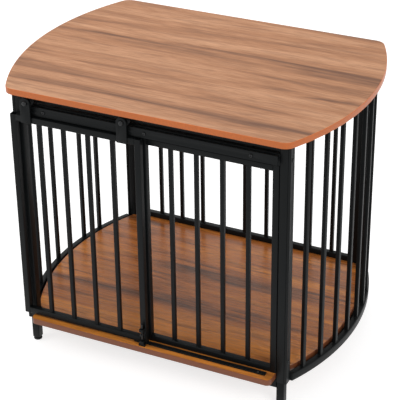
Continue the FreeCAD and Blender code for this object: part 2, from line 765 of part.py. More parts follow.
# ---------------------------------------------------------------- rail behind the track, track
track_bolt_x = (c.track_bolt_inset - inner_x, ZERO, inner_x - c.track_bolt_inset)
panel_bolt_x = (fixed_left_x + c.panel_bolt_inset, fixed_right_x - c.panel_bolt_inset)
fixed_middle_y = front_y + c.panel_tube / 2
mount_rail = tube("track_rail_tube", "X", c.post_width, c.mount_rail_height, inner_x * 2,
                  c.frame_wall, c.tube_corner,
                  (-inner_x, front_post_y, rail_bottom + c.mount_rail_height / 2))
rail_holes = [((x, front_y - c.fit_gap, track_middle_z), c.post_width / 2, "+Y")
              for x in track_bolt_x]
rail_holes += [((x, fixed_middle_y, rail_bottom - c.fit_gap), c.mount_rail_height / 2, "+Z")
               for x in panel_bolt_x]
finish(drilled("track_rail", mount_rail, rail_holes, bolt_hole_radius), "track_rail")

track_blank = box("track_blank", (-inner_x, track_front_y, track_bottom),
                  (track_length, c.track_thickness, c.track_height))
track_holes = [((x, track_front_y, track_middle_z), c.track_thickness, "+Y")
               for x in track_bolt_x]
finish(drilled("track_bar", track_blank, track_holes, bolt_hole_radius), "track_bar")

spacers = []
for index, x in enumerate(track_bolt_x, start=1):
    outer = prism("track_spacer_%d_outside" % index, c.spacer_diameter / 2, c.track_standoff,
                  (x, track_back_y, track_middle_z), "+Y", HOLE_SIDES * 2)
    inner = prism("track_spacer_%d_bore" % index, bolt_hole_radius, c.track_standoff,
                  (x, track_back_y, track_middle_z), "+Y", HOLE_SIDES)
    spacers.append(cut("track_spacer_%d" % index, outer, [inner]))
grouped("track_spacers", spacers)
fasteners(
    "track_bolts",
    [((x, track_front_y, track_middle_z), "+Y") for x in track_bolt_x],
    c.bolt_head_diameter, c.bolt_head_height, c.bolt_diameter,
    c.track_thickness + c.track_standoff + c.frame_wall * 3,
)

# ---------------------------------------------------------------- bowed side panels
stile_edge_y = frame_depth / 2 - c.post_width - c.weld_gap


def bowed_rail(name, height, bottom, turn, corner=None):
    """A rail bent to the table's bow, its ends square to the depth just behind the posts."""
    body = new_body(name)
    sketch = new_sketch(body, "XY_Plane", name + "_outline")
    up = FreeCAD.Vector(0, 0, 1)
    middle = FreeCAD.Vector(bow_middle_x.number, 0, 0)
    ends = {}
    for tag, radius in (("outer", side_outer_radius), ("inner", side_inner_radius)):
        angle = math.asin(stile_edge_y.number / radius.number)
        circle = Part.Circle(middle, up, radius.number)
        sketch.addGeometry(Part.ArcOfCircle(circle, -angle, angle), False)
        reach = bow_middle_x.number + radius.number * math.cos(angle)
        ends[tag] = FreeCAD.Vector(reach, stile_edge_y.number, 0)
    low = {tag: FreeCAD.Vector(point.x, -point.y, 0) for tag, point in ends.items()}
    sketch.addGeometry(Part.LineSegment(ends["outer"], ends["inner"]), False)
    sketch.addGeometry(Part.LineSegment(low["inner"], low["outer"]), False)
    for first, first_end, second, second_end in ((0, 2, 2, 1), (2, 2, 1, 2), (1, 1, 3, 1), (3, 2, 0, 1)):
        sketch.addConstraint(Sketcher.Constraint("Coincident", first, first_end, second, second_end))
    for arc, tag, radius in ((0, "outer", side_outer_radius), (1, "inner", side_inner_radius)):
        fix_point(sketch, arc, 3, bow_middle_x, ZERO, tag + "_middle")
        index = sketch.addConstraint(Sketcher.Constraint("Radius", arc, radius.number))
        sketch.renameConstraint(index, tag + "_radius")
        bind(sketch, "Constraints.%s_radius" % tag, radius)
    for line, y, tag in ((2, stile_edge_y, "back"), (3, -stile_edge_y, "front")):
        sketch.addConstraint(Sketcher.Constraint("Horizontal", line))
        index = sketch.addConstraint(Sketcher.Constraint("DistanceY", -1, 1, line, 1, y.number))
        sketch.renameConstraint(index, tag + "_line")
        bind(sketch, "Constraints.%s_line" % tag, y)
    solid = pad(body, sketch, height, name + "_height")
    body.Tip = solid
    if corner is not None:
        doc.recompute()
        arcs = long_edges(solid.Shape, DIRECTIONS["Z"], straight=False)
        body.Tip = chamfer(body, solid, arcs, corner, name + "_corners")
    place(body, (ZERO, middle_y, bottom), turn)
    return finish(body, name)


def bowed_bars(name, bottom, length, turn):
    """The upright bars of one bowed side, in a polar pattern about the bow's middle."""
    body = new_body(name)
    sketch = new_sketch(body, "XY_Plane", name + "_section")
    polygon(sketch, bar_outline(c.bar_width, c.bar_chamfer, bar_circle_radius))
    bar = pad(body, sketch, length, name + "_length")
    step = c.side_bar_pitch / bar_circle_radius * 180 / math.pi
    span = step * (c.side_bar_count - 1)
    pattern = body.newObject("PartDesign::PolarPattern", name + "_row")
    pattern.Originals = [bar]
    pattern.Axis = (origin_part(body, "Z_Axis"), [""])
    bind(pattern, "Angle", span)
    bind(pattern, "Occurrences", c.side_bar_count)
    body.Tip = pattern
    middle = bow_middle_x if turn == 0 else -bow_middle_x
    place(body, (middle, middle_y, bottom), turn - span.number / 2)
    return finish(body, name)


side_rail_top = c.joint_height + c.side_rail_height
side_top_bottom = table_underside - c.side_top_height
side_bar_length = side_top_bottom - side_rail_top
stile_height = table_underside - c.joint_height
stile_depth = c.post_width + c.weld_gap
for side, turn, sign in (("left", 180, -1), ("right", 0, 1)):
    bowed_rail(side + "_side_bottom_rail", c.side_rail_height, c.joint_height, turn,
               c.bent_corner)
    bowed_rail(side + "_side_top_rail", c.side_top_height, side_top_bottom, turn)
    bowed_bars(side + "_side_bars", side_rail_top, side_bar_length, turn)
    stiles = []
    for end, y, post_y in (("front", front_y, front_post_y),
                           ("back", back_y - stile_depth, back_post_y)):
        name = "%s_side_%s_stile" % (side, end)
        low_x = frame_length / 2 if sign > 0 else -frame_length / 2 - c.side_stile_thickness
        flat = box(name + "_flat", (low_x, y, c.joint_height),
                   (c.side_stile_thickness, stile_depth, stile_height))
        holes = [((low_x, post_y, z), c.side_stile_thickness, "+X")
                 for z in (side_bolt_low, side_bolt_high)]
        stiles.append(drilled(name, flat, holes, bolt_hole_radius))
    grouped(side + "_side_stiles", stiles)
stile_face = frame_length / 2 + c.side_stile_thickness
side_bolt_spots = []
for y in (front_post_y, back_post_y):
    for z in (side_bolt_low, side_bolt_high):
        side_bolt_spots.append(((stile_face, y, z), "-X"))
        side_bolt_spots.append(((-stile_face, y, z), "+X"))
fasteners("side_panel_bolts", side_bolt_spots, c.bolt_head_diameter, c.bolt_head_height,
          c.bolt_diameter, c.side_stile_thickness + c.post_wall * 4)

# ---------------------------------------------------------------- flat barred panels


def upright(name, x, y, bottom, length, holes=None, radius=None):
    stile = tube(name + ("_tube" if holes else ""), "Z", c.panel_tube, c.panel_tube, length,
                 c.panel_wall, c.panel_corner, (x, y, bottom))
    if holes:
        stile = drilled(name, stile, holes, radius)
    return finish(stile, name)


def crosspiece(name, start_x, y, middle_z, length, holes=None, radius=None):
    rail = tube(name + ("_tube" if holes else ""), "X", c.panel_tube, c.panel_tube, length,
                c.panel_wall, c.panel_corner, (start_x, y, middle_z))
    if holes:
        rail = drilled(name, rail, holes, radius)
    return finish(rail, name)


def bar_row(name, first_x, y, bottom, length, step, count):
    """Upright bars in a straight row, in a linear pattern along X."""
    body = new_body(name)
    sketch = new_sketch(body, "XY_Plane", name + "_section")
    polygon(sketch, bar_outline(c.bar_width, c.bar_chamfer))
    bar = pad(body, sketch, length, name + "_length")
    pattern = body.newObject("PartDesign::LinearPattern", name + "_row")
    pattern.Originals = [bar]
    pattern.Direction = (origin_part(body, "X_Axis"), [""])
    bind(pattern, "Length", step * (count - 1))
    bind(pattern, "Occurrences", count)
    body.Tip = pattern
    place(body, (first_x, y, bottom))
    return finish(body, name)


def even_step(inside, count):
    """Bar pitch that leaves the same gap between all bars and the stiles."""
    return (inside - count * c.bar_width) / (count + 1) + c.bar_width


# fixed right half of the front
inside_width = panel_width - c.panel_tube * 2
panel_step = even_step(inside_width, c.panel_bar_count)
fixed_height = rail_bottom - panel_bottom
upright("fixed_panel_left_stile", fixed_left_x + c.panel_tube / 2, fixed_middle_y, panel_bottom,
        fixed_height)
upright("fixed_panel_right_stile", fixed_right_x - c.panel_tube / 2, fixed_middle_y,
        panel_bottom, fixed_height)
crosspiece("fixed_panel_bottom_rail", fixed_left_x + c.panel_tube, fixed_middle_y,
           panel_bottom + c.panel_tube / 2, inside_width)
panel_holes = [((x, fixed_middle_y, rail_bottom - c.panel_tube), c.panel_tube, "+Z")
               for x in panel_bolt_x]
crosspiece("fixed_panel_top_rail", fixed_left_x + c.panel_tube, fixed_middle_y,
           rail_bottom - c.panel_tube / 2, inside_width, panel_holes, bolt_hole_radius)
bar_row("fixed_panel_bars", fixed_left_x + c.panel_tube + panel_step - c.bar_width / 2,
        fixed_middle_y, panel_bottom + c.panel_tube, fixed_height - c.panel_tube * 2, panel_step,
        c.panel_bar_count)
panel_bolt_spots = [((x, fixed_middle_y, rail_bottom - c.panel_tube), "+Z")
                    for x in panel_bolt_x]

# back panel, one piece between the back posts
back_half = inner_x - c.panel_post_gap
back_inside = (back_half - c.panel_tube) * 2
back_step = even_step(back_inside, c.back_bar_count)
back_height = back_panel_top - panel_bottom
for name, sign in (("back_panel_left_stile", -1), ("back_panel_right_stile", 1)):
    x = (back_half - c.panel_tube / 2) * sign
    inner_face = (back_half - c.panel_tube) * sign
    outward = "+X" if sign > 0 else "-X"
    ways = [((inner_face, back_panel_y, z), c.panel_tube, outward)
            for z in (back_bolt_low, back_bolt_high)]
    upright(name, x, back_panel_y, panel_bottom, back_height, ways, bolt_hole_radius)
    panel_bolt_spots += [((inner_face, back_panel_y, z), outward)
                         for z in (back_bolt_low, back_bolt_high)]
fasteners("panel_bolts", panel_bolt_spots, c.bolt_head_diameter, c.bolt_head_height,
          c.bolt_diameter, c.panel_tube + c.frame_wall * 4)
crosspiece("back_panel_bottom_rail", c.panel_tube - back_half, back_panel_y,
           panel_bottom + c.panel_tube / 2, back_inside)
crosspiece("back_panel_top_rail", c.panel_tube - back_half, back_panel_y,
           back_panel_top - c.panel_tube / 2, back_inside)
bar_row("back_panel_bars", c.panel_tube - back_half + back_step - c.bar_width / 2, back_panel_y,
        panel_bottom + c.panel_tube, back_height - c.panel_tube * 2, back_step, c.back_bar_count)

# ---------------------------------------------------------------- sliding door
door_back_y = front_y - c.door_stand_off
door_middle_y = door_back_y - c.panel_tube / 2
door_front_y = door_back_y - c.panel_tube
door_bottom = c.floor_top + c.door_floor_gap
door_top = track_bottom - c.door_top_gap
door_height = door_top - door_bottom
upright("door_left_stile", door_left_x + c.panel_tube / 2, door_middle_y, door_bottom,
        door_height)
upright("door_right_stile", door_right_x - c.panel_tube / 2, door_middle_y, door_bottom,
        door_height)
crosspiece("door_bottom_rail", door_left_x + c.panel_tube, door_middle_y,
           door_bottom + c.panel_tube / 2, inside_width)
crosspiece("door_top_rail", door_left_x + c.panel_tube, door_middle_y,
           door_top - c.panel_tube / 2, inside_width)
bar_row("door_bars", door_left_x + c.panel_tube + panel_step - c.bar_width / 2, door_middle_y,
        door_bottom + c.panel_tube, door_height - c.panel_tube * 2, panel_step,
        c.panel_bar_count)

# hangers, axles and rollers
axle_z = track_top + c.tread_gap + c.tread_radius
hanger_bottom = door_top - c.panel_tube
hanger_half = c.hanger_width / 2
axle_hole_radius = c.axle_collar_diameter / 2 + c.axle_run
axles = []
for side, sign in (("left", -1), ("right", 1)):
    hanger_x = door_right_x - c.hanger_inset if sign > 0 else door_left_x + c.hanger_inset
    name = "hanger_" + side
    straight = box(name + "_straight", (hanger_x - hanger_half, door_front_y - c.hanger_thickness,
                                        hanger_bottom),
                   (c.hanger_width, c.hanger_thickness, axle_z - hanger_bottom))
    crown = rod(name + "_crown", hanger_half, c.hanger_thickness,
                (hanger_x, door_front_y - c.hanger_thickness, axle_z), "+Y")
    plate = joined(name + "_plate", [straight, crown])
    plate.Refine = True
    hole = ((hanger_x, door_front_y - c.hanger_thickness, axle_z), c.hanger_thickness, "+Y")
    finish(drilled(name, plate, [hole], axle_hole_radius,
                   HOLE_SIDES * 2), name)

    reach = c.roller_width / 2 + c.axle_play
    plate_front = track_middle_y - door_front_y + c.hanger_thickness
    journal = c.axle_diameter / 2
    collar = c.axle_collar_diameter / 2
    head = c.axle_head_diameter / 2
    rivet = c.axle_end_diameter / 2
    crown = head * 0.6
    section = [
        (crown, -plate_front - c.axle_head_height),
        (head, -plate_front), (collar, -plate_front), (collar, -reach),
        (journal, -reach), (journal, reach),
        (rivet, reach), (rivet, reach + c.axle_end_height),
    ]
    wheel_middle = (hanger_x, track_middle_y, axle_z)
    axles.append(facet_turned("roller_axle_" + side, section, wheel_middle, "+Y", AXLE_SIDES))

    bore = c.axle_diameter / 2 + c.axle_run
    tread = c.tread_radius
    rim = c.tread_radius + c.flange_height
    half_groove = c.track_thickness / 2 + c.groove_gap
    half_width = c.roller_width / 2
    section = [
        (bore, -half_width), (rim, -half_width), (rim, -half_groove - c.flange_slope),
        (tread, -half_groove), (tread, half_groove), (rim, half_groove + c.flange_slope),
        (rim, half_width), (bore, half_width),
    ]
    name = "roller_" + side
    finish(facet_turned(name, section, wheel_middle, "+Y", ROLLER_SIDES, ring=True), name)
grouped("roller_axles", axles)

# guide channel on the lip and the pin that runs in it
guide_low_y = door_middle_y - c.guide_width / 2
channel = box("guide_channel_blank", (guide_start, guide_low_y, c.floor_top),
              (guide_stop - guide_start, c.guide_width, c.guide_height))
slot = box("guide_channel_slot",
           (guide_start + c.guide_end, door_middle_y - c.guide_slot / 2,
            c.floor_top + c.guide_base),
           (guide_stop - guide_start - c.guide_end * 2, c.guide_slot, c.guide_height))
grooved = cut("guide_channel_grooved", channel, [slot])
guide_ways = [((x, door_middle_y, c.floor_top), c.guide_base, "+Z") for x in guide_screw_x]
finish(drilled("guide_channel", grooved, guide_ways, guide_screw_hole), "guide_channel")
fasteners("guide_channel_screws",
          [((x, door_middle_y, c.floor_top + c.guide_base), "-Z") for x in guide_screw_x],
          c.guide_slot - c.fit_gap * 2, c.pin_tip_gap / 2, c.guide_screw_diameter,
          c.guide_base + c.screw_bite)
pin_bottom = c.floor_top + c.guide_base + c.pin_tip_gap
pin = prism("door_guide_pin", c.pin_diameter / 2, door_bottom - pin_bottom,
            (pin_x, door_middle_y, pin_bottom), "+Z", HOLE_SIDES * 2)
finish(pin, "door_guide_pin")

# ---------------------------------------------------------------- drop-bolt latch and its keeper
latch_x = door_right_x - c.panel_tube / 2
bolt_run = c.latch_bolt_diameter / 2 + c.latch_run
latch_bolt_y = door_front_y - c.latch_plate - bolt_run - c.fit_gap
latch_low_x = latch_x - c.latch_width / 2
latch_bottom = c.floor_top + c.latch_rise
loop_front_y = latch_bolt_y - bolt_run - c.latch_wall
loop_depth = door_front_y - loop_front_y
back_plate = box("latch_back_plate", (latch_low_x, door_front_y - c.latch_plate, latch_bottom),
                 (c.latch_width, c.latch_plate, c.latch_height))
loops = []
for name, z in (("lower", latch_bottom), ("upper", latch_bottom + c.latch_height - c.latch_loop)):
    loops.append(box("latch_%s_loop" % name, (latch_low_x, loop_front_y, z),
                     (c.latch_width, loop_depth, c.latch_loop)))
housing = joined("latch_housing_blank", [back_plate] + loops)
housing.Refine = True
bolt_way = ((latch_x, latch_bolt_y, latch_bottom), c.latch_height, "+Z")
finish(drilled("latch_housing", housing, [bolt_way], bolt_run, HOLE_SIDES * 2),
       "latch_housing")

tip_z = c.floor_top + c.latch_lift
shank = prism("latch_bolt_shank", c.latch_bolt_diameter / 2, c.latch_bolt_length,
              (latch_x, latch_bolt_y, tip_z), "+Z", HOLE_SIDES * 2)
knob_z = tip_z + c.latch_bolt_length - c.latch_knob_drop
knob = prism("latch_bolt_knob", c.latch_knob_diameter / 2,
             latch_bolt_y - loop_front_y + c.latch_knob_reach, (latch_x, latch_bolt_y, knob_z),
             "-Y", HOLE_SIDES * 2)
drop_bolt = joined("latch_bolt", [shank, knob])
finish(drop_bolt, "latch_bolt")

keeper_half = c.latch_bolt_diameter / 2 + c.keeper_gap
keeper_block = box("latch_keeper_block",
                   (latch_x - c.keeper_width / 2, latch_bolt_y - keeper_half - c.keeper_wall,
                    c.floor_top),
                   (c.keeper_width, (keeper_half + c.keeper_wall) * 2, c.keeper_height))
keeper_hole = box("latch_keeper_hole",
                  (latch_x - keeper_half, latch_bolt_y - keeper_half, c.floor_top),
                  (keeper_half * 2, keeper_half * 2, c.keeper_height))
finish(cut("latch_keeper", keeper_block, [keeper_hole]), "latch_keeper")

# ---------------------------------------------------------------- checks and files
doc.recompute()
for obj in doc.Objects:
    if "Invalid" in obj.State or "Error" in obj.State:
        raise ValueError("%s did not build: %s" % (obj.Name, obj.State))
os.makedirs("parts", exist_ok=True)
labels = [obj.Label for obj in finished]
if len(set(labels)) != len(labels):
    raise ValueError("two sub-parts share a label")
for obj in finished:
    shape = obj.Shape
    if shape.isNull() or not shape.isValid() or not shape.Solids:
        raise ValueError("%s is not a valid solid" % obj.Label)
    for solid in shape.Solids:
        if solid.Volume <= 0:
            raise ValueError("%s holds an inside-out solid" % obj.Label)
for obj in finished:
    obj.Shape.exportStep(os.path.join("parts", obj.Label + ".step"))
print("wrote %d sub-parts" % len(finished))
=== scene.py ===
"""Dog crate end table: finishes, soft edges, bars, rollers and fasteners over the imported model."""
import json
import math

import bmesh
import bpy
from mathutils import Matrix, Vector


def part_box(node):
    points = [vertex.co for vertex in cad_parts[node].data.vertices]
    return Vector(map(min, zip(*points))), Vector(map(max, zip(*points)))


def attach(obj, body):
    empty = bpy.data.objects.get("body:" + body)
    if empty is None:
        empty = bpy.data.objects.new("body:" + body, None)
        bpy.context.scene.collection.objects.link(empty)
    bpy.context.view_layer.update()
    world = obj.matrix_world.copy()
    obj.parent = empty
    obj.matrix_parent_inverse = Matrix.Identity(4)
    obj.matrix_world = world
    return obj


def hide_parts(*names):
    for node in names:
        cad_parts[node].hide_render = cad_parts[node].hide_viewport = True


bl_info = {
    "name": "Dog Crate End Table",
    "version": (1, 0, 0),
    "blender": (4, 5, 0),
    "location": "View3D > Sidebar > Crate",
    "description": "Dresses the crate end table's frame with its boards, bars, door and fittings",
    "category": "Object",
}

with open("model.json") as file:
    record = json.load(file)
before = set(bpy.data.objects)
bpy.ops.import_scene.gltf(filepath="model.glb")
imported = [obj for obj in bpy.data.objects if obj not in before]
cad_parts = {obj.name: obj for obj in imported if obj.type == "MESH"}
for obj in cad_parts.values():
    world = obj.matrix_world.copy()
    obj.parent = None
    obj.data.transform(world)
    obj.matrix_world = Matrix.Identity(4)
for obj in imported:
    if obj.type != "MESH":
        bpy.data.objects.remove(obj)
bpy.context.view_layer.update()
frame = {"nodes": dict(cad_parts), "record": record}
NODES = frame["nodes"]
MM = 0.001


# ------------------------------------------------------------------ sizes and colours
def size_property(label, description, millimetres):
    return bpy.props.FloatProperty(
        name=label, description=description, default=millimetres * MM, unit="LENGTH"
    )


def colour_property(label, description, hex_colour):
    return bpy.props.FloatVectorProperty(
        name=label, description=description, default=srgb(hex_colour)[:3], size=3,
        min=0.0, max=1.0, subtype="COLOR",
    )


def srgb(hex_colour):
    """An sRGB hex value as the linear colour with alpha that shaders take."""
    parts = [int(hex_colour[i:i + 2], 16) / 255 for i in (1, 3, 5)]
    lin = [p / 12.92 if p <= 0.04045 else ((p + 0.055) / 1.055) ** 2.4 for p in parts]
    return (*lin, 1.0)


class CrateSizes(bpy.types.PropertyGroup):
    """Sizes of the pieces that are made here."""

    table_length: size_property("Table Length", "Over the two bowed ends", 850)
    table_depth: size_property("Table Depth", "Front to back", 600)
    end_bow: size_property("End Bow", "How far each bowed end stands out", 78)
    bow_room: size_property("Bow Room", "Keeps the fine bow inside the faceted solid", 0.1)
    table_corner: size_property("Table Corner", "Radius of the four corners", 28)
    banding: size_property("Edge Banding", "Thickness of the edge banding", 1.0)
    board_edge: size_property("Board Edge", "Rounding of the boards' edges", 0.8)
    tube_edge: size_property("Tube Edge", "Extra rounding of the tubes' corners", 0.7)
    fitting_edge: size_property("Fitting Edge", "Rounding of small pressed fittings", 0.35)
    bar_width: size_property("Bar Width", "Square bars of the grilles", 9.5)
    bar_edge: size_property("Bar Edge", "Rounding of the bars", 1.0)
    side_inset: size_property("Side Inset", "Bowed rails inside the table's edge", 15)
    side_rail: size_property("Side Rail", "Width of the bowed rails", 15)
    side_pitch: size_property("Side Pitch", "Bar pitch along the bow", 63)
    ledge_width: size_property("Ledge Width", "Ledge under the floor board's ends", 20)
    ledge_thickness: size_property("Ledge Thickness", "Ledge under the board's ends", 3)
    weld: size_property("Weld Bead", "Leg of the small weld beads", 1.6)
    tread_radius: size_property("Tread Radius", "Roller on the track", 10.5)
    flange: size_property("Flange", "Roller flange beside the track", 3.0)
    foot_radius: size_property("Foot Radius", "Round pads of the foot glides", 10.5)
    bolt_head: size_property("Bolt Head", "Radius of the button heads", 4.5)
    bolt_crown: size_property("Bolt Crown", "Height of the button heads", 2.6)
    bolt_shank: size_property("Bolt Shank", "Radius of the frame bolts", 2.5)
    bolt_socket: size_property("Bolt Socket", "Half the width of the hexagon sockets", 1.5)
    screw_head: size_property("Screw Head", "Radius of the wood screws' heads", 4.0)
    screw_crown: size_property("Screw Crown", "Height of the wood screws' heads", 2.0)
    screw_shank: size_property("Screw Shank", "Radius of the wood screws", 2.0)
    guide_crown: size_property("Guide Crown", "Height of the guide channel's screw heads", 0.25)
    guide_shank: size_property("Guide Shank", "Radius of the guide channel's screws", 1.5)


class CrateFinish(bpy.types.PropertyGroup):
    """Colours of the finishes."""

    top_light: colour_property("Top Light", "Light walnut bands of the table top", "#bf8b64")
    top_middle: colour_property("Top Middle", "Ground colour of the table top", "#a67048")
    top_dark: colour_property("Top Dark", "Brown streaks of the table top", "#633a1c")
    floor_light: colour_property("Floor Light", "Light bands of the floor board", "#e08c3a")
    floor_middle: colour_property("Floor Middle", "Ground colour of the floor", "#b66a30")
    floor_dark: colour_property("Floor Dark", "Dark streaks of the floor board", "#56341f")
    top_banding: colour_property("Top Banding", "Edge banding of the table top", "#d8722f")
    # the floor's banding has its own browner tone, made darker still by painted shade of the lip
    # under the table top
    floor_banding_and_shade: colour_property("Floor Banding And Shade", "Edge banding of the floor", "#8a4e2e")
    powder: colour_property("Powder Coat", "Matte black powder coat", "#131617")
    oxide: colour_property("Black Oxide", "Black oxide on axles and bolts", "#17191b")
    zinc: colour_property("Zinc", "Zinc-plated screws", "#b9bcc0")
    nylon: colour_property("Nylon", "Moulded black nylon", "#141516")


# ------------------------------------------------------------------ nodes and materials
def add_node(tree, kind, inputs=None, links=None, **settings):
    """Adds one node with its settings, its input values and its links."""
    node = tree.nodes.new(kind)
    for name, value in settings.items():
        setattr(node, name, value)
    for name, value in (inputs or {}).items():
        node.inputs[name].default_value = value
    for name, source in (links or {}).items():
        tree.links.new(source, node.inputs[name])
    return node


def math_node(tree, operation, a, b=0.0):
    """One arithmetic node between two sockets or numbers."""
    node = add_node(tree, "ShaderNodeMath", operation=operation)
    for index, value in enumerate((a, b)):
        if isinstance(value, (int, float)):
            node.inputs[index].default_value = value
        else:
            tree.links.new(value, node.inputs[index])
    return node.outputs["Value"]


def vector_of(tree, **parts):
    """Sockets X, Y and Z as one vector."""
    return add_node(tree, "ShaderNodeCombineXYZ", links=parts).outputs["Vector"]


def mapped(tree, value, low, high, to_low, to_high):
    """A socket's range from low to high, laid onto another range."""
    node = add_node(tree, "ShaderNodeMapRange",
                    {"From Min": low, "From Max": high, "To Min": to_low, "To Max": to_high},
                    {"Value": value})
    return node.outputs["Result"]


def new_material(name):
    material = bpy.data.materials.new(name)
    material.use_nodes = True
    material.node_tree.nodes.clear()
    return material, material.node_tree


def finish_material(tree, shader):
    add_node(tree, "ShaderNodeOutputMaterial", links={"Surface": shader})


def stretched(tree, scale, shift):
    """Object coordinates scaled along x, y and z, in 1/m."""
    mapping = add_node(tree, "ShaderNodeMapping", {"Scale": scale, "Location": shift},
                       {"Vector": tree.nodes["place"].outputs["Object"]})
    return mapping.outputs["Vector"]


def noise(tree, scale, detail, roughness, vector=None, distortion=0.0):
    """A noise over the object's coordinates, or over another vector."""
    texture = add_node(tree, "ShaderNodeTexNoise",
                       {"Scale": scale, "Detail": detail, "Roughness": roughness,
                        "Distortion": distortion},
                       {"Vector": vector or tree.nodes["place"].outputs["Object"]})
    return texture.outputs["Fac"]


def blended(tree, amount, below, above):
    """One colour over another by an amount."""
    mix = add_node(tree, "ShaderNodeMixRGB", {"Color2": (*above, 1.0)},
                   {"Fac": amount, "Color1": below})
    return mix.outputs["Color"]


def walnut(name, seed, light, middle, dark, streak_depth, smoothest, specular):
    """Printed walnut melamine on particle board, pressed satin.

    Light and dark brown bands about 60 mm wide run along the length, with darker streaks about
    14 mm wide and fibres of 1 to 3 mm, under a thin sheen that lifts the colour at low angles.
    """
    material, tree = new_material(name)
    add_node(tree, "ShaderNodeTexCoord", name="place")
    shift = (seed, seed * 1.7, 0.0)
    bands, streaks, fibres = (
        noise(tree, 1.0, detail, 0.6, stretched(tree, (along, across, across), shift), distortion)
        for along, across, detail, distortion in (
            (1.2, 17.0, 4.0, 0.6), (5.0, 70.0, 5.0, 0.7), (22.0, 330.0, 4.0, 0.0))
    )
    ground = add_node(tree, "ShaderNodeValToRGB", links={"Fac": bands})
    ramp = ground.color_ramp
    ramp.elements[0].position = 0.34
    ramp.elements[0].color = (*dark, 1.0)
    ramp.elements[1].position = 0.64
    ramp.elements[1].color = (*light, 1.0)
    ramp.elements.new(0.47).color = (*middle, 1.0)
    streak_mask = mapped(tree, streaks, 0.5, 0.7, 0.0, streak_depth)
    fibre_mask = mapped(tree, fibres, 0.4, 0.68, 0.0, 0.42)
    streaked = blended(tree, streak_mask, ground.outputs["Color"], dark)
    grained = blended(tree, fibre_mask, streaked, dark)
    bump = add_node(tree, "ShaderNodeBump", {"Strength": 0.12, "Distance": 0.0004},
                    {"Height": fibres})
    rough = mapped(tree, fibres, 0.3, 0.7, smoothest, smoothest + 0.14)
    shader = add_node(tree, "ShaderNodeBsdfPrincipled",
                      {"IOR": 1.5, "Specular IOR Level": specular},
                      {"Base Color": grained, "Roughness": rough,
                       "Normal": bump.outputs["Normal"]})
    finish_material(tree, shader.outputs["BSDF"])
    return material


def mottled(name, colour, darker, grain_mm, roughness, depth_mm, metallic=0.0, gloss=0.5,
            contrast=0.35):
    """A surface with a fine all-over grain: colour, roughness and relief from one noise."""
    material, tree = new_material(name)
    add_node(tree, "ShaderNodeTexCoord", name="place")
    grain = noise(tree, 1.0 / (grain_mm * MM), 2.0, 0.5)
    cloud = noise(tree, 9.0, 3.0, 0.5)
    mixed = add_node(tree, "ShaderNodeMath", {2: 0.1}, {0: grain, 1: cloud},
                     operation="MULTIPLY_ADD")
    tone = add_node(tree, "ShaderNodeValToRGB", links={"Fac": mixed.outputs["Value"]})
    tone.color_ramp.elements[0].position = 0.5 - contrast / 2
    tone.color_ramp.elements[0].color = (*[part * darker for part in colour], 1.0)
    tone.color_ramp.elements[1].position = 0.5 + contrast / 2
    tone.color_ramp.elements[1].color = (*colour, 1.0)
    rough = mapped(tree, grain, 0.3, 0.7, roughness - 0.05, roughness + 0.07)
    bump = add_node(tree, "ShaderNodeBump", {"Strength": 0.35, "Distance": depth_mm * MM},
                    {"Height": grain})
    shader = add_node(
        tree, "ShaderNodeBsdfPrincipled",
        {"Metallic": metallic, "IOR": 1.5, "Specular IOR Level": gloss},
        {"Base Color": tone.outputs["Color"], "Roughness": rough,
         "Normal": bump.outputs["Normal"]},
    )
    finish_material(tree, shader.outputs["BSDF"])
    return material


MATERIALS = {}


def make_materials(finish):
    """All finishes of the crate."""
    MATERIALS["walnut_top"] = walnut("walnut_melamine_top", 3.1, finish.top_light,
                                     finish.top_middle, finish.top_dark, 0.45, 0.42, 0.32)
    MATERIALS["walnut_floor"] = walnut("walnut_melamine_floor", 8.6, finish.floor_light,
                                       finish.floor_middle, finish.floor_dark, 0.7, 0.2,
                                       0.48)
    # PVC edge banding: plain orange-brown, smooth, a little glossier than the melamine; the floor's
    # banding is browner, and darker still by painted shade of the lip under the table top
    MATERIALS["top_banding"] = mottled("pvc_banding_orange_brown", finish.top_banding, 0.8, 6.0,
                                       0.38, 0.02)
    MATERIALS["floor_banding_and_shade"] = mottled("pvc_banding_brown_and_shade", finish.floor_banding_and_shade, 0.8, 6.0,
                                         0.4, 0.02)
    # epoxy-polyester powder coat, baked matte: a fine orange peel that scatters the highlights;
    # its real grain of about 0.5 mm is drawn at 1.2 mm so that it shows
    MATERIALS["powder"] = mottled("powder_coat_matte_black", finish.powder, 0.6, 1.2, 0.42,
                                  0.05, gloss=0.13)
    # black oxide on hardened steel: near black, with a dull metal gleam
    MATERIALS["oxide"] = mottled("black_oxide_steel", finish.oxide, 0.6, 0.8, 0.24, 0.01,
                                 metallic=0.4)
    # zinc-plated steel screws, bright and slightly cloudy
    MATERIALS["zinc"] = mottled("zinc_plated_steel", finish.zinc, 0.7, 0.9, 0.32, 0.008,
                                metallic=1.0)
    # moulded nylon: black, slightly waxy
    MATERIALS["nylon"] = mottled("moulded_nylon_black", finish.nylon, 0.7, 1.0, 0.42, 0.02,
                                 gloss=0.25)


SLOT_FINISH = {
    "wood_board": "walnut_floor", "wood_edge_band": "floor_banding_and_shade", "black_frame": "powder",
    "black_steel": "oxide", "zinc_steel": "zinc", "black_plastic": "nylon",
}


# ------------------------------------------------------------------ mesh helpers
# degrees: shading stays smooth up to the first three, and edges over the others are rounded
MADE_SMOOTH, SOFT_SMOOTH, SMALL_SMOOTH = 35, 38, 40
CAD_CREASE, BAR_CREASE, FLAT_ANGLE = 32, 60, 0.6
SAME_POINT, SAME_CAD_POINT = 1e-7, 2e-6


def new_piece(name, verts, faces, finish):
    """A mesh object at the origin with its place in its mesh."""
    mesh = bpy.data.meshes.new(name)
    mesh.from_pydata([tuple(v) for v in verts], [], faces)
    return dress_mesh(name, mesh, finish)


def shade(mesh, angle):
    """Smooth shading up to an angle in degrees."""
    mesh.shade_smooth()
    mesh.set_sharp_from_angle(angle=math.radians(angle))


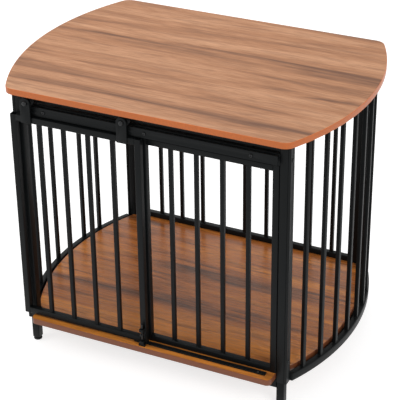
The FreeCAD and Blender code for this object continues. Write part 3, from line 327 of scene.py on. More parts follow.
def dress_mesh(name, mesh, finish):
    """The mesh, cleaned, shaded and coated, as an object."""
    shell = bmesh.new()
    shell.from_mesh(mesh)
    bmesh.ops.remove_doubles(shell, verts=shell.verts, dist=SAME_POINT)
    bmesh.ops.recalc_face_normals(shell, faces=shell.faces)
    shell.to_mesh(mesh)
    shell.free()
    mesh.materials.clear()
    mesh.materials.append(MATERIALS[finish])
    shade(mesh, MADE_SMOOTH)
    piece = bpy.data.objects.new(name, mesh)
    bpy.context.scene.collection.objects.link(piece)
    return piece


def applied(piece):
    """The piece as a plain mesh, with its modifiers applied and removed."""
    graph = bpy.context.evaluated_depsgraph_get()
    mesh = bpy.data.meshes.new_from_object(piece.evaluated_get(graph))
    piece.modifiers.clear()
    piece.data = mesh
    return piece


def bevelled(piece, width, segments, angle):
    """The piece with its edges over an angle in degrees rounded."""
    bevel = piece.modifiers.new("edges", "BEVEL")
    bevel.width = width
    bevel.segments = segments
    bevel.limit_method = "ANGLE"
    bevel.angle_limit = math.radians(angle)
    return applied(piece)


def hand_over(piece, body, slot, *nodes):
    """Puts the piece on its body, in place of the nodes."""
    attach(piece, body)
    if nodes:
        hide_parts(*nodes)
    return piece


def join_shells(shells):
    """Several (vertices, faces) as one."""
    verts, faces = [], []
    for points, polygons in shells:
        start = len(verts)
        verts += points
        faces += [[start + i for i in polygon] for polygon in polygons]
    return verts, faces


def lathe(profile, segments, at=(0, 0, 0), toward=(0, 0, 1)):
    """A turned shell: the profile's (radius, height) in metres about an axis through a point."""
    turn = Vector((0, 0, 1)).rotation_difference(Vector(toward)).to_matrix().to_4x4()
    place = Matrix.Translation(at) @ turn
    verts, rings, faces = [], [], []
    for radius, height in profile:
        if radius == 0:
            rings.append([len(verts)])
            verts.append(place @ Vector((0, 0, height)))
            continue
        rings.append(list(range(len(verts), len(verts) + segments)))
        for step in range(segments):
            angle = 2 * math.pi * step / segments
            verts.append(place @ Vector((radius * math.cos(angle), radius * math.sin(angle),
                                         height)))
    for low, high in zip(rings, rings[1:]):
        for step in range(segments):
            following = (step + 1) % segments
            if len(low) == 1:
                faces.append([low[0], high[following], high[step]])
            elif len(high) == 1:
                faces.append([low[step], low[following], high[0]])
            else:
                faces.append([low[step], low[following], high[following], high[step]])
    return verts, faces


def millimetres(*corners):
    """Profile corners given in millimetres, in metres."""
    return [(radius * MM, height * MM) for radius, height in corners]


def rounded(corners, radius, steps):
    """A (radius, height) profile with its inner corners rounded."""
    points = [corners[0]]
    for before, here, after in zip(corners, corners[1:], corners[2:]):
        a, b, c = Vector(before), Vector(here), Vector(after)
        reach = min(radius, (b - a).length * 0.45, (c - b).length * 0.45)
        start = b + (a - b).normalized() * reach
        stop = b + (c - b).normalized() * reach
        for step in range(steps + 1):
            t = step / steps
            point = start.lerp(b, t).lerp(b.lerp(stop, t), t)
            points.append((point.x, point.y))
    points.append(corners[-1])
    return points


def softened(node, width, finish, body, slot, segments=2):
    """A copy of a CAD node with its sharp edges rounded, which stands for the node."""
    mesh = NODES[node].data.copy()
    shell = bmesh.new()
    shell.from_mesh(mesh)
    bmesh.ops.remove_doubles(shell, verts=shell.verts, dist=SAME_CAD_POINT)
    bmesh.ops.dissolve_limit(shell, angle_limit=math.radians(FLAT_ANGLE), verts=shell.verts,
                             edges=shell.edges)
    shell.to_mesh(mesh)
    shell.free()
    piece = dress_mesh("soft_" + node, mesh, finish)
    bevelled(piece, width, segments, CAD_CREASE)
    shade(piece.data, SOFT_SMOOTH)
    return hand_over(piece, body, slot, node)


# ------------------------------------------------------------------ node trees that repeat
def input_socket(tree, name, kind, default=None):
    socket = tree.interface.new_socket(name=name, in_out="INPUT", socket_type=kind)
    if default is not None:
        socket.default_value = default
    return socket.identifier


def start_tree(name):
    tree = bpy.data.node_groups.new(name, "GeometryNodeTree")
    tree.interface.new_socket(name="Geometry", in_out="INPUT", socket_type="NodeSocketGeometry")
    tree.interface.new_socket(name="Geometry", in_out="OUTPUT", socket_type="NodeSocketGeometry")
    return tree


def finish_tree(tree, copies, finish):
    """Makes the copies real, gives them their material and puts them out."""
    real = add_node(tree, "GeometryNodeRealizeInstances",
                    links={"Geometry": copies.outputs["Instances"]})
    coated = add_node(tree, "GeometryNodeSetMaterial",
                      links={"Geometry": real.outputs["Geometry"], "Material": finish})
    add_node(tree, "NodeGroupOutput", links={"Geometry": coated.outputs["Geometry"]})


def bar_tree():
    """Upright bars in a row or along a bow, each with a weld bead at both ends."""
    tree = start_tree("upright_bars")
    ids = {}
    for name, kind, default in (
        ("Count", "NodeSocketInt", 4), ("Pitch", "NodeSocketFloat", 0.063),
        ("Width", "NodeSocketFloat", 0.0095), ("Height", "NodeSocketFloat", 0.5),
        ("Bow Radius", "NodeSocketFloat", 0.0), ("Side", "NodeSocketFloat", 1.0),
        ("First Bar", "NodeSocketVector", (0, 0, 0)), ("Bead", "NodeSocketFloat", 0.0016),
        ("Finish", "NodeSocketMaterial", None),
    ):
        ids[name] = input_socket(tree, name, kind, default)
    get = add_node(tree, "NodeGroupInput").outputs

    def times(first, second):
        return math_node(tree, "MULTIPLY", first, second)

    index = add_node(tree, "GeometryNodeInputIndex").outputs["Index"]
    last = math_node(tree, "SUBTRACT", get["Count"], 1.0)
    centred = math_node(tree, "SUBTRACT", index, times(last, 0.5))
    safe_radius = math_node(tree, "MAXIMUM", get["Bow Radius"], 0.001)
    angle = math_node(tree, "DIVIDE", times(centred, get["Pitch"]), safe_radius)
    bow_x = times(times(math_node(tree, "COSINE", angle), get["Bow Radius"]), get["Side"])
    bow_y = times(math_node(tree, "SINE", angle), get["Bow Radius"])
    bowed = math_node(tree, "GREATER_THAN", get["Bow Radius"], 0.0)
    straight = math_node(tree, "SUBTRACT", 1.0, bowed)
    x = math_node(tree, "ADD", bow_x, times(times(index, get["Pitch"]), straight))
    turn = times(times(angle, get["Side"]), bowed)
    place = add_node(tree, "ShaderNodeVectorMath",
                     links={0: vector_of(tree, X=x, Y=bow_y), 1: get["First Bar"]},
                     operation="ADD")
    points = add_node(tree, "GeometryNodePoints",
                      links={"Count": get["Count"], "Position": place.outputs["Vector"]})
    bar_size = vector_of(tree, X=get["Width"], Y=get["Width"], Z=get["Height"])
    bar = add_node(tree, "GeometryNodeMeshCube",
                   {"Vertices X": 2, "Vertices Y": 2, "Vertices Z": 2}, {"Size": bar_size})
    raised = add_node(tree, "GeometryNodeTransform",
                      links={"Geometry": bar.outputs["Mesh"],
                             "Translation": vector_of(tree, Z=times(get["Height"], 0.5))})
    bead_base = math_node(tree, "ADD", times(get["Width"], 0.5), get["Bead"])
    bead = add_node(tree, "GeometryNodeMeshCone",
                    {"Vertices": 16, "Side Segments": 2, "Fill Segments": 1},
                    {"Radius Bottom": bead_base,
                     "Radius Top": times(get["Width"], 0.52),
                     "Depth": get["Bead"]})
    high_bead = add_node(tree, "GeometryNodeTransform", {"Rotation": (math.pi, 0, 0)},
                         {"Geometry": bead.outputs["Mesh"],
                          "Translation": vector_of(tree, Z=get["Height"])})
    whole = add_node(tree, "GeometryNodeJoinGeometry")
    for part in (raised.outputs["Geometry"], bead.outputs["Mesh"],
                 high_bead.outputs["Geometry"]):
        tree.links.new(part, whole.inputs["Geometry"])
    copies = add_node(tree, "GeometryNodeInstanceOnPoints",
                      links={"Points": points.outputs["Points"],
                             "Instance": whole.outputs["Geometry"],
                             "Rotation": vector_of(tree, Z=turn)})
    finish_tree(tree, copies, get["Finish"])
    return tree, ids


def fastener_tree():
    """One fastener at each point, turned to the point's own direction."""
    tree = start_tree("fasteners")
    ids = {
        "Fastener": input_socket(tree, "Fastener", "NodeSocketObject"),
        "Size": input_socket(tree, "Size", "NodeSocketFloat", 1.0),
        "Finish": input_socket(tree, "Finish", "NodeSocketMaterial"),
    }
    get = add_node(tree, "NodeGroupInput").outputs
    shape = add_node(tree, "GeometryNodeObjectInfo", links={"Object": get["Fastener"]})
    toward = add_node(tree, "GeometryNodeInputNamedAttribute", {"Name": "toward"},
                      data_type="FLOAT_VECTOR")
    turn = add_node(tree, "FunctionNodeAlignRotationToVector",
                    links={"Vector": toward.outputs["Attribute"]}, axis="Z")
    copies = add_node(tree, "GeometryNodeInstanceOnPoints",
                      links={"Points": get["Geometry"], "Instance": shape.outputs["Geometry"],
                             "Rotation": turn.outputs["Rotation"], "Scale": get["Size"]})
    finish_tree(tree, copies, get["Finish"])
    return tree, ids


TREES = {}


def run_tree(name, kind, mesh, values):
    """Runs a node tree on a mesh and gives the plain result as an object."""
    if kind not in TREES:
        TREES[kind] = bar_tree() if kind == "bars" else fastener_tree()
    tree, ids = TREES[kind]
    piece = bpy.data.objects.new(name, mesh)
    bpy.context.scene.collection.objects.link(piece)
    modifier = piece.modifiers.new("repeat", "NODES")
    modifier.node_group = tree
    for label, value in values.items():
        modifier[ids[label]] = value
    return applied(piece)


# ------------------------------------------------------------------ boards
def bow_circle(sizes):
    """Radius and middle of the table's right bow, from the table's middle."""
    half_depth = sizes.table_depth / 2
    radius = (half_depth ** 2 + sizes.end_bow ** 2) / (2 * sizes.end_bow)
    return radius, sizes.table_length / 2 - radius


def board_outline(sizes, inset, per_corner=10, per_bow=48):
    """The table top's outline moved inwards: straight front and back, bowed ends, round corners."""
    half_depth = sizes.table_depth / 2
    radius, middle = bow_circle(sizes)
    bow = radius - inset
    reach = half_depth - inset
    corner = sizes.table_corner - inset
    corner_y = reach - corner
    corner_x = middle + math.sqrt((bow - corner) ** 2 - corner_y ** 2)
    bow_turn = math.atan2(corner_y, corner_x - middle)
    quarter = []
    for step in range(per_bow // 2 + 1):
        angle = bow_turn * step / (per_bow // 2)
        quarter.append((middle + bow * math.cos(angle), bow * math.sin(angle)))
    for step in range(1, per_corner + 1):
        angle = bow_turn + (math.pi / 2 - bow_turn) * step / per_corner
        quarter.append((corner_x + corner * math.cos(angle),
                        corner_y + corner * math.sin(angle)))
    right = [(x, -y) for x, y in reversed(quarter)] + quarter[1:]
    left = [(-x, -y) for x, y in right]
    return right + left


def ring_shell(rings, capped=False):
    """Quads between rings of equal counts; the last ring joins the first, or both are capped."""
    count = len(rings[0])
    verts = [point for ring in rings for point in ring]
    faces = []
    if capped:
        faces = [list(range(count)), list(range(len(verts) - count, len(verts)))]
    for level in range(len(rings) - capped):
        upper = (level + 1) % len(rings)
        for step in range(count):
            following = (step + 1) % count
            faces.append([level * count + step, level * count + following,
                          upper * count + following, upper * count + step])
    return verts, faces


class CRATE_OT_table_top(bpy.types.Operator):
    """Makes the bow-ended table top and its edge banding"""

    bl_idname = "crate.table_top"
    bl_label = "Table Top"

    def execute(self, context):
        sizes = context.scene.crate_sizes
        low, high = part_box("table_top_edge_band")
        middle_y = (low[1] + high[1]) / 2
        top, bottom = high[2], low[2]
        band, edge = sizes.banding, sizes.board_edge

        def ring(inset, z):
            outline = board_outline(sizes, inset + sizes.bow_room)
            return [(x, y + middle_y, z) for x, y in outline]

        board_shell = ring_shell([ring(band, top), ring(band, bottom)], capped=True)
        board = new_piece("table_board", *board_shell, "walnut_top")
        hand_over(board, "crate_frame", "wood_board", "table_top")
        quarter = [math.pi / 2 * step / 4 for step in range(5)]
        profile = [
            (band, top),
            *((edge - edge * math.sin(a), top - edge + edge * math.cos(a)) for a in quarter),
            *((edge - edge * math.cos(a), bottom + edge - edge * math.sin(a)) for a in quarter),
            (band, bottom),
        ]
        shell = ring_shell([ring(inset, z) for inset, z in profile])
        banding = new_piece("table_banding", *shell, "top_banding")
        hand_over(banding, "crate_frame", "wood_edge_band", "table_top_edge_band")
        return {"FINISHED"}


class CRATE_OT_floor_board(bpy.types.Operator):
    """Finishes the floor board and its edge banding"""

    bl_idname = "crate.floor_board"
    bl_label = "Floor Board"

    def execute(self, context):
        softened("floor_board", 0.05 * MM, "walnut_floor", "crate_frame", "wood_board", 1)
        # the floor's edge banding carries painted shade of the lip under the table top
        softened("floor_board_edge_band", 0.45 * MM, "floor_banding_and_shade", "crate_frame",
                 "wood_edge_band")
        return {"FINISHED"}


# ------------------------------------------------------------------ tubes and rails
PANEL_PARTS = ("left_stile", "right_stile", "top_rail", "bottom_rail")
FRAME_TUBES = (
    *(f"{kind}_{end}_{side}" for kind in ("post", "leg") for end in ("front", "back")
      for side in ("left", "right")),
    "front_base_rail", "back_base_rail", "floor_braces", "front_top_rail", "back_top_rail",
    "track_rail", "left_side_bottom_rail", "right_side_bottom_rail",
    *(f"{panel}_panel_{part}" for panel in ("fixed", "back") for part in PANEL_PARTS),
)
FLAT_BARS = ("left_side_top_rail", "right_side_top_rail", "left_side_stiles",
             "right_side_stiles", "track_bar", "track_spacers", "guide_channel",
             "latch_keeper")


class CRATE_OT_cage_frame(bpy.types.Operator):
    """Rounds and coats the posts, legs, rails and flat bars of the cage"""

    bl_idname = "crate.cage_frame"
    bl_label = "Cage Frame"

    def execute(self, context):
        sizes = context.scene.crate_sizes
        for node in FRAME_TUBES:
            softened(node, sizes.tube_edge, "powder", "crate_frame", "black_frame")
        for node in FLAT_BARS:
            softened(node, sizes.fitting_edge, "powder", "crate_frame", "black_frame")
        return {"FINISHED"}


class CRATE_OT_floor_ledges(bpy.types.Operator):
    """Makes the bowed ledges that carry the floor board's ends, inside the lower side rails"""

    bl_idname = "crate.floor_ledges"
    bl_label = "Floor Ledges"

    def execute(self, context):
        sizes = context.scene.crate_sizes
        radius, middle_x = bow_circle(sizes)
        rail_lap = 0.5 * MM
        outer = radius - sizes.side_inset - sizes.side_rail + rail_lap
        inner = outer - sizes.ledge_width
        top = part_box("floor_board")[0][2]
        for side in (-1, 1):
            low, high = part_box("left_side_bars" if side < 0 else "right_side_bars")
            middle_y = (low[1] + high[1]) / 2
            reach = math.asin((high[1] - middle_y) / outer)
            steps = 32
            rings = []
            for step in range(steps + 1):
                angle = reach * (2 * step / steps - 1)
                rings.append([((middle_x + r * math.cos(angle)) * side,
                               middle_y + r * math.sin(angle), z)
                              for r, z in ((inner, top), (outer, top),
                                           (outer, top - sizes.ledge_thickness),
                                           (inner, top - sizes.ledge_thickness))])
            name = "floor_ledge_" + ("left" if side < 0 else "right")
            ledge = new_piece(name, *ring_shell(rings, capped=True), "powder")
            hand_over(ledge, "crate_frame", "black_frame")
        return {"FINISHED"}


class CRATE_OT_door_frame(bpy.types.Operator):
    """Rounds and coats the sliding door's tubes and roller hangers"""

    bl_idname = "crate.door_frame"
    bl_label = "Door Frame"

    def execute(self, context):
        sizes = context.scene.crate_sizes
        for part in PANEL_PARTS:
            softened("door_" + part, sizes.tube_edge, "powder", "sliding_door", "black_frame")
        for node in ("hanger_left", "hanger_right", "latch_housing"):
            softened(node, sizes.fitting_edge, "powder", "sliding_door", "black_frame")
        return {"FINISHED"}


class CRATE_OT_bars(bpy.types.Operator):
    """Makes the upright bars of the door, the panels and the bowed sides"""

    bl_idname = "crate.bars"
    bl_label = "Upright Bars"

    def execute(self, context):
        sizes = context.scene.crate_sizes
        radius, bow_middle = bow_circle(sizes)
        bar_radius = radius - sizes.side_inset - sizes.side_rail / 2
        rows = (
            ("door_bars", 4, "sliding_door", 0), ("fixed_panel_bars", 4, "crate_frame", 0),
            ("back_panel_bars", 9, "crate_frame", 0), ("left_side_bars", 8, "crate_frame", -1),
            ("right_side_bars", 8, "crate_frame", 1),
        )
        for node, count, body, side in rows:
            low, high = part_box(node)
            middle_y = (low[1] + high[1]) / 2
            values = {
                "Count": count, "Width": sizes.bar_width, "Height": high[2] - low[2],
                "Bead": sizes.weld, "Finish": MATERIALS["powder"],
            }
            if side:
                values["Pitch"] = sizes.side_pitch
                values["Bow Radius"] = bar_radius
                values["Side"] = float(side)
                values["First Bar"] = (bow_middle * side, middle_y, low[2])
            else:
                width = sizes.bar_width
                values["Pitch"] = (high[0] - low[0] - width) / (count - 1)
                values["First Bar"] = (low[0] + width / 2, middle_y, low[2])
            piece = run_tree("made_" + node, "bars", bpy.data.meshes.new(node), values)
            bevelled(piece, sizes.bar_edge, 3, BAR_CREASE)
            shade(piece.data, SMALL_SMOOTH)
            hand_over(piece, body, "black_frame", node)
        return {"FINISHED"}


# ------------------------------------------------------------------ rollers, axles and feet
class CRATE_OT_rollers(bpy.types.Operator):
    """Makes the two grooved rollers and their axles"""

    bl_idname = "crate.rollers"
    bl_label = "Rollers"

    def execute(self, context):
        sizes = context.scene.crate_sizes
        middles = []
        for side in ("left", "right"):
            low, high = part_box("roller_" + side)
            middle = [(a + b) / 2 for a, b in zip(low, high)]
            half = (high[1] - low[1]) / 2
            rim = sizes.tread_radius + sizes.flange
            tread = sizes.tread_radius
            bore, hub, edge, dish = 3.06 * MM, 6.5 * MM, 0.5 * MM, 0.7 * MM
            groove, slope = 2.3 * MM, 0.6 * MM
            profile = [
                (bore, -half), (hub, -half), (hub + edge, -half + dish),
                (rim - 3 * edge, -half + dish), (rim - 2 * edge, -half), (rim - edge, -half),
                (rim, -half + edge), (rim, -groove - slope), (tread, -groove),
                (tread, groove), (rim, groove + slope), (rim, half - edge),
                (rim - edge, half), (rim - 2 * edge, half), (rim - 3 * edge, half - dish),
                (hub + edge, half - dish), (hub, half), (bore, half), (bore, -half),
            ]
            shell = lathe(rounded(profile, 0.25 * MM, 2), 64, middle, (0, 1, 0))
            wheel = new_piece("grooved_roller_" + side, *shell, "nylon")
            hand_over(wheel, side + "_roller", "black_plastic", "roller_" + side)
            middles.append(middle)
        low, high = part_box("roller_axles")
        front, long = low[1], high[1] - low[1]
        shoulder, journal, reach = 5.0 * MM, 3.0 * MM, 5.3 * MM
        shells = []
        for middle in middles:
            start, stop = middle[1] - reach - front, middle[1] + reach - front
            profile = [
                *millimetres((0, 0), (3.2, 0.05), (5.2, 1.0), (6.0, 2.6), (6.0, 4.0), (5.0, 4.0)),
                (shoulder, start), (journal, start), (journal, stop), (4.5 * MM, stop),
                (4.0 * MM, long - 0.4 * MM), (2.6 * MM, long), (0, long),
            ]
            shells.append(lathe(rounded(profile, 0.5 * MM, 3), 40,
                                (middle[0], front, middle[2]), (0, 1, 0)))
        axles = new_piece("turned_axles", *join_shells(shells), "oxide")
        hand_over(axles, "sliding_door", "black_steel", "roller_axles")
        return {"FINISHED"}


class CRATE_OT_feet(bpy.types.Operator):
    """Makes the four moulded foot glides"""

    bl_idname = "crate.feet"
    bl_label = "Foot Glides"

    def execute(self, context):
        low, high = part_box("foot_glides")
        radius = context.scene.crate_sizes.foot_radius
        pad = [(0, 0), (8.6 * MM, 0), (radius, 1.4 * MM), (radius, 4.4 * MM)]
        stem = millimetres((9.4, 6.0), (7.0, 6.0), (7.0, 7.6), (9.2, 7.6), (9.2, 8.9), (7.4, 8.9),
                           (7.4, 22.0), (0, 22.0))
        profile = rounded(pad + stem, 0.6 * MM, 3)
        shells = [lathe(profile, 40, (x, y, low[2]))
                  for x in (low[0] + radius, high[0] - radius)
                  for y in (low[1] + radius, high[1] - radius)]
        feet = new_piece("moulded_feet", *join_shells(shells), "nylon")
        hand_over(feet, "crate_frame", "black_plastic", "foot_glides")
        return {"FINISHED"}


# ------------------------------------------------------------------ latch and guide pin
class CRATE_OT_latch(bpy.types.Operator):
    """Makes the drop bolt with its knob, and the door's guide pin"""

    bl_idname = "crate.latch"
    bl_label = "Latch and Guide Pin"

    def execute(self, context):
        low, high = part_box("latch_bolt")
        x = (low[0] + high[0]) / 2
        radius = 3.0 * MM
        y = high[1] - radius
        length = high[2] - low[2]
        rod = lathe([(0, 0), (1.6 * MM, 0), (radius, 2.4 * MM), (radius, length - 1.0 * MM),
                     (2.0 * MM, length), (0, length)], 32, (x, y, low[2]))
        knob_drop = 28.0 * MM
        knob_z = high[2] - knob_drop
        reach = y - low[1]
        stem = rounded([(0, 0), (1.6 * MM, 0), (1.6 * MM, reach * 0.5), (2.5 * MM, reach * 0.62),
                        (2.5 * MM, reach * 0.9), (1.7 * MM, reach), (0, reach)], 0.6 * MM, 3)
        knob = lathe(stem, 24, (x, y, knob_z), (0, -1, 0))
        bolt = new_piece("drop_bolt_with_knob", *join_shells([rod, knob]), "oxide")
        hand_over(bolt, "drop_bolt", "black_steel", "latch_bolt")
        low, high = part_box("door_guide_pin")
        spot = ((low[0] + high[0]) / 2, (low[1] + high[1]) / 2, low[2])
        radius = (high[0] - low[0]) / 2
        tall = high[2] - low[2]
        pin = lathe([(0, 0), (radius * 0.7, 0), (radius, radius * 0.3), (radius, tall),
                     (0, tall)], 32, spot)
        hand_over(new_piece("nylon_guide_pin", *pin, "nylon"), "sliding_door",
                  "black_plastic", "door_guide_pin")
        return {"FINISHED"}


# ------------------------------------------------------------------ fasteners
def recessed(outer, segments, rings):
    """A turned head with a recess in its top; rings are (depth, radius at an angle)."""
    verts, faces = lathe(outer, segments)
    rim, wall = len(verts) - segments, len(verts)
    for depth, radius_at in rings:
        for step in range(segments):
            angle = 2 * math.pi * step / segments
            radius = radius_at(angle)
            verts.append(Vector((radius * math.cos(angle), radius * math.sin(angle), depth)))
    for step in range(segments):
        following = (step + 1) % segments
        faces.append([rim + step, rim + following, wall + following, wall + step])
        faces.append([wall + step, wall + following, wall + segments + following,
                      wall + segments + step])
    faces.append([wall + segments + step for step in range(segments)])
    faces.append(list(range(segments)))
    return verts, faces


def button_head(sizes, length):
    """A button-head bolt with a hexagon socket; the underside of its head is at the origin."""
    head, height, shank = sizes.bolt_head, sizes.bolt_crown, sizes.bolt_shank

    def hexagon(angle):
        nearest = (angle + math.pi / 6) % (math.pi / 3) - math.pi / 6
        return sizes.bolt_socket / math.cos(nearest)

    outer = [(shank * 0.8, length), (shank, length - 0.5 * MM), (shank, 0.0), (head, 0.0),
             (head, -0.25 * height), (head * 0.93, -0.55 * height), (head * 0.78, -0.82 * height),
             (head * 0.58, -height)]
    return recessed(outer, 36, ((-height, hexagon), (-height * 0.35, hexagon)))


def cross_head(head, height, shank, length):
    """A pan-head wood screw with a cross recess; the underside of its head is at the origin."""
    def cross(angle):
        return head * (0.16 + 0.36 * abs(math.cos(2 * angle)) ** 3)

    outer = [(shank * 0.3, length), (shank, length - 2.5 * MM), (shank, 0.0), (head, 0.0),
             (head, -0.35 * height), (head * 0.85, -0.8 * height), (head * 0.62, -height)]
    return recessed(outer, 32, ((-height, cross),
                                (-height * 0.3, lambda angle: cross(angle) * 0.85)))


def spots_mesh(name, spots):
    """Points with the direction of each fastener's shank."""
    mesh = bpy.data.meshes.new(name)
    mesh.from_pydata([spot for spot, toward in spots], [], [])
    attribute = mesh.attributes.new("toward", "FLOAT_VECTOR", "POINT")
    for index, (spot, toward) in enumerate(spots):
        attribute.data[index].vector = toward
    return mesh


def fasten(name, node, shape, spots, finish, slot):
    """Fasteners of one kind at their places, as one plain mesh."""
    pattern = new_piece(name + "_pattern", *shape, finish)
    piece = run_tree(name, "fasteners", spots_mesh(name, spots),
                     {"Fastener": pattern, "Size": 1.0, "Finish": MATERIALS[finish]})
    bpy.data.objects.remove(pattern)
    shade(piece.data, SMALL_SMOOTH)
    hand_over(piece, "crate_frame", slot, node)


class CRATE_OT_fasteners(bpy.types.Operator):
    """Makes the bolts and screws that hold the crate together"""

    bl_idname = "crate.fasteners"
    bl_label = "Fasteners"

    def execute(self, context):
        sizes = context.scene.crate_sizes
        head, tall = sizes.bolt_head, sizes.bolt_crown
        low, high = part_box("side_panel_bolts")
        spots = [((x, y, z), toward)
                 for y in (low[1] + head, high[1] - head) for z in (low[2] + head, high[2] - head)
                 for x, toward in ((low[0] + tall, (1, 0, 0)), (high[0] - tall, (-1, 0, 0)))]
        fasten("side_bolts", "side_panel_bolts", button_head(sizes, 10 * MM), spots, "oxide",
               "black_steel")
        low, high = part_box("track_bolts")
        middle = [(a + b) / 2 for a, b in zip(low, high)]
        spots = [((x, low[1] + tall, middle[2]), (0, 1, 0))
                 for x in (low[0] + head, middle[0], high[0] - head)]
        fasten("track_bolt_row", "track_bolts", button_head(sizes, 15.4 * MM), spots, "oxide",
               "black_steel")
        low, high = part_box("fixed_panel_top_rail")
        bolt_inset = 29.5 * MM
        spots = [((x, (low[1] + high[1]) / 2, low[2]), (0, 0, 1))
                 for x in (low[0] + bolt_inset, high[0] - bolt_inset)]
        low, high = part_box("back_panel_left_stile")
        right_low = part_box("back_panel_right_stile")[0]
        end_inset = 80 * MM
        for z in (low[2] + end_inset, high[2] - end_inset):
            for x, toward in ((high[0], (-1, 0, 0)), (right_low[0], (1, 0, 0))):
                spots.append(((x, (low[1] + high[1]) / 2, z), toward))
        fasten("panel_bolt_set", "panel_bolts", button_head(sizes, 19.6 * MM), spots, "oxide",
               "black_steel")
        head, tall = sizes.screw_head, sizes.screw_crown
        for name, node, between in (("top_screws", "table_top_screws", (0.0,)),
                                    ("floor_screws", "floor_board_screws", ())):
            low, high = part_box(node)
            spots = [((x, y, low[2] + tall), (0, 0, 1))
                     for x in (low[0] + head, *between, high[0] - head)
                     for y in (low[1] + head, high[1] - head)]
            shape = cross_head(head, tall, sizes.screw_shank, high[2] - low[2] - tall)
            fasten(name, node, shape, spots, "zinc", "zinc_steel")
        low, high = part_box("guide_channel_screws")
        tall = sizes.guide_crown
        head = (high[1] - low[1]) / 2
        spots = [((x, (low[1] + high[1]) / 2, high[2] - tall), (0, 0, -1))
                 for x in (low[0] + head, high[0] - head)]
        shape = cross_head(head, tall, sizes.guide_shank, high[2] - low[2] - tall)
        fasten("guide_screws", "guide_channel_screws", shape, spots, "zinc", "zinc_steel")
        return {"FINISHED"}


# ------------------------------------------------------------------ stage
CAMERA_AZIMUTH = 26.51
CAMERA_ELEVATION = 29.19
CAMERA_ROLL = -1.06
CAMERA_PLACE = (1.3935, -2.8920, 2.1111)
CAMERA_FOCUS_PIXELS = 1494.8
PRINCIPAL_POINT = (182.3, 208.0)
IMAGE_PIXELS = 400.0
SENSOR_WIDTH = 36.0
FLOOR_REACH = 12.0
# name, place, target, width in metres, power in watts
LAMPS = (
    ("key_right", (2.8, -2.0, 2.4), (0, 0, 0.3), 1.8, 44.0),
    ("fill_left", (-2.6, -2.4, 2.2), (0, 0, 0.35), 2.4, 30.0),
    ("top_soft", (-0.9, 0.9, 3.4), (-0.2, 0.1, 0.4), 2.2, 55.0),
)


def area_lamp(name, place, target, width, power):
    lamp = bpy.data.lights.new(name, "AREA")
    lamp.shape = "SQUARE"
    lamp.size = width
    lamp.energy = power
    holder = bpy.data.objects.new(name, lamp)
    holder.location = place
    direction = Vector(target) - Vector(place)
    holder.rotation_euler = direction.to_track_quat("-Z", "Y").to_euler()
    bpy.context.scene.collection.objects.link(holder)


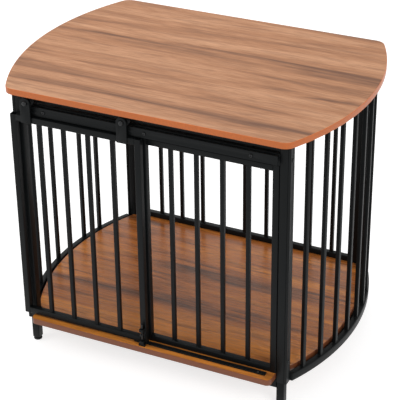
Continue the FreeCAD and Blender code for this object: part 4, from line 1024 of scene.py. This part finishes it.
class CRATE_OT_stage(bpy.types.Operator):
    """Makes the pale floor, the soft lights and the camera"""

    bl_idname = "crate.stage"
    bl_label = "Stage"

    def execute(self, context):
        scene = context.scene
        # white paper floor: it shows white to the camera and keeps the crate's soft shadow
        material, tree = new_material("white_paper_floor")
        path = add_node(tree, "ShaderNodeLightPath")
        seen = math_node(tree, "MAXIMUM", path.outputs["Is Camera Ray"],
                         path.outputs["Is Glossy Ray"])
        grain = add_node(tree, "ShaderNodeTexNoise", {"Scale": 300.0, "Detail": 2.0})
        tone = mapped(tree, grain.outputs["Fac"], 0.0, 1.0, 0.52, 0.56)
        paper = add_node(tree, "ShaderNodeBsdfDiffuse", links={"Color": tone})
        glow = add_node(tree, "ShaderNodeEmission", {"Color": (1, 1, 1, 1), "Strength": 0.72})
        both = add_node(tree, "ShaderNodeAddShader", links={0: paper.outputs["BSDF"],
                                                            1: glow.outputs["Emission"]})
        mix = add_node(tree, "ShaderNodeMixShader",
                       links={"Fac": seen, 1: paper.outputs["BSDF"],
                              2: both.outputs["Shader"]})
        finish_material(tree, mix.outputs["Shader"])
        mesh = bpy.data.meshes.new("paper_floor")
        mesh.from_pydata([(x * FLOOR_REACH, y * FLOOR_REACH, 0)
                          for x, y in ((-1, -1), (1, -1), (1, 1), (-1, 1))], [], [[0, 1, 2, 3]])
        mesh.materials.append(material)
        floor = bpy.data.objects.new("paper_floor", mesh)
        scene.collection.objects.link(floor)

        world = bpy.data.worlds.new("white_room")
        scene.world = world
        world.use_nodes = True
        sky = world.node_tree
        sky.nodes.clear()
        path = add_node(sky, "ShaderNodeLightPath")
        direct = math_node(sky, "MAXIMUM", path.outputs["Is Camera Ray"],
                           path.outputs["Is Transmission Ray"])
        shown = math_node(sky, "MAXIMUM", direct, path.outputs["Is Glossy Ray"])
        light = add_node(sky, "ShaderNodeBackground", {"Color": (1, 1, 1, 1)},
                         {"Strength": mapped(sky, shown, 0.0, 1.0, 0.55, 1.0)})
        add_node(sky, "ShaderNodeOutputWorld", links={"Surface": light.outputs["Background"]})

        for lamp in LAMPS:
            area_lamp(*lamp)

        camera_data = bpy.data.cameras.new("photo_camera")
        camera_data.sensor_width = SENSOR_WIDTH
        camera_data.lens = CAMERA_FOCUS_PIXELS * SENSOR_WIDTH / IMAGE_PIXELS
        camera_data.shift_x = (IMAGE_PIXELS / 2 - PRINCIPAL_POINT[0]) / IMAGE_PIXELS
        camera_data.shift_y = (PRINCIPAL_POINT[1] - IMAGE_PIXELS / 2) / IMAGE_PIXELS
        camera_data.clip_end = 60.0
        camera = bpy.data.objects.new("photo_camera", camera_data)
        turn = (Matrix.Rotation(math.radians(CAMERA_AZIMUTH), 4, "Z")
                @ Matrix.Rotation(math.radians(90 - CAMERA_ELEVATION), 4, "X")
                @ Matrix.Rotation(math.radians(CAMERA_ROLL), 4, "Z"))
        camera.matrix_world = Matrix.Translation(CAMERA_PLACE) @ turn
        scene.collection.objects.link(camera)
        scene.camera = camera
        scene.view_settings.view_transform = "Standard"
        return {"FINISHED"}


# ------------------------------------------------------------------ panel and registration
class CRATE_OT_finishes(bpy.types.Operator):
    """Makes the finishes and gives them to the carried-over pieces"""

    bl_idname = "crate.finishes"
    bl_label = "Finishes"

    def execute(self, context):
        make_materials(context.scene.crate_finish)
        slots = {row["node"]: row["material_slot"] for row in frame["record"]["subparts"]}
        for node, piece in NODES.items():
            finish = SLOT_FINISH[slots[node]]
            if not piece.material_slots:
                piece.data.materials.append(MATERIALS[finish])
            for slot in piece.material_slots:
                slot.material = MATERIALS[finish]
        return {"FINISHED"}


OPERATORS = (
    CRATE_OT_finishes, CRATE_OT_table_top, CRATE_OT_floor_board, CRATE_OT_cage_frame,
    CRATE_OT_floor_ledges, CRATE_OT_door_frame, CRATE_OT_bars, CRATE_OT_rollers, CRATE_OT_feet,
    CRATE_OT_latch, CRATE_OT_fasteners, CRATE_OT_stage,
)


class CRATE_PT_sidebar(bpy.types.Panel):
    """Lists the crate's pieces, sizes and colours"""

    bl_label = "Dog Crate End Table"
    bl_idname = "CRATE_PT_sidebar"
    bl_space_type = "VIEW_3D"
    bl_region_type = "UI"
    bl_category = "Crate"

    def draw(self, context):
        for kind in OPERATORS:
            self.layout.operator(kind.bl_idname)
        for group in (context.scene.crate_sizes, context.scene.crate_finish):
            for name in group.__annotations__:
                self.layout.prop(group, name)


CLASSES = (CrateSizes, CrateFinish, *OPERATORS, CRATE_PT_sidebar)


def register():
    for kind in CLASSES:
        bpy.utils.register_class(kind)
    bpy.types.Scene.crate_sizes = bpy.props.PointerProperty(type=CrateSizes)
    bpy.types.Scene.crate_finish = bpy.props.PointerProperty(type=CrateFinish)


def unregister():
    del bpy.types.Scene.crate_finish
    del bpy.types.Scene.crate_sizes
    for kind in reversed(CLASSES):
        bpy.utils.unregister_class(kind)


def main():
    register()
    for kind in OPERATORS:
        getattr(bpy.ops.crate, kind.bl_idname.partition(".")[2])()


if __name__ == "__main__":
    main()
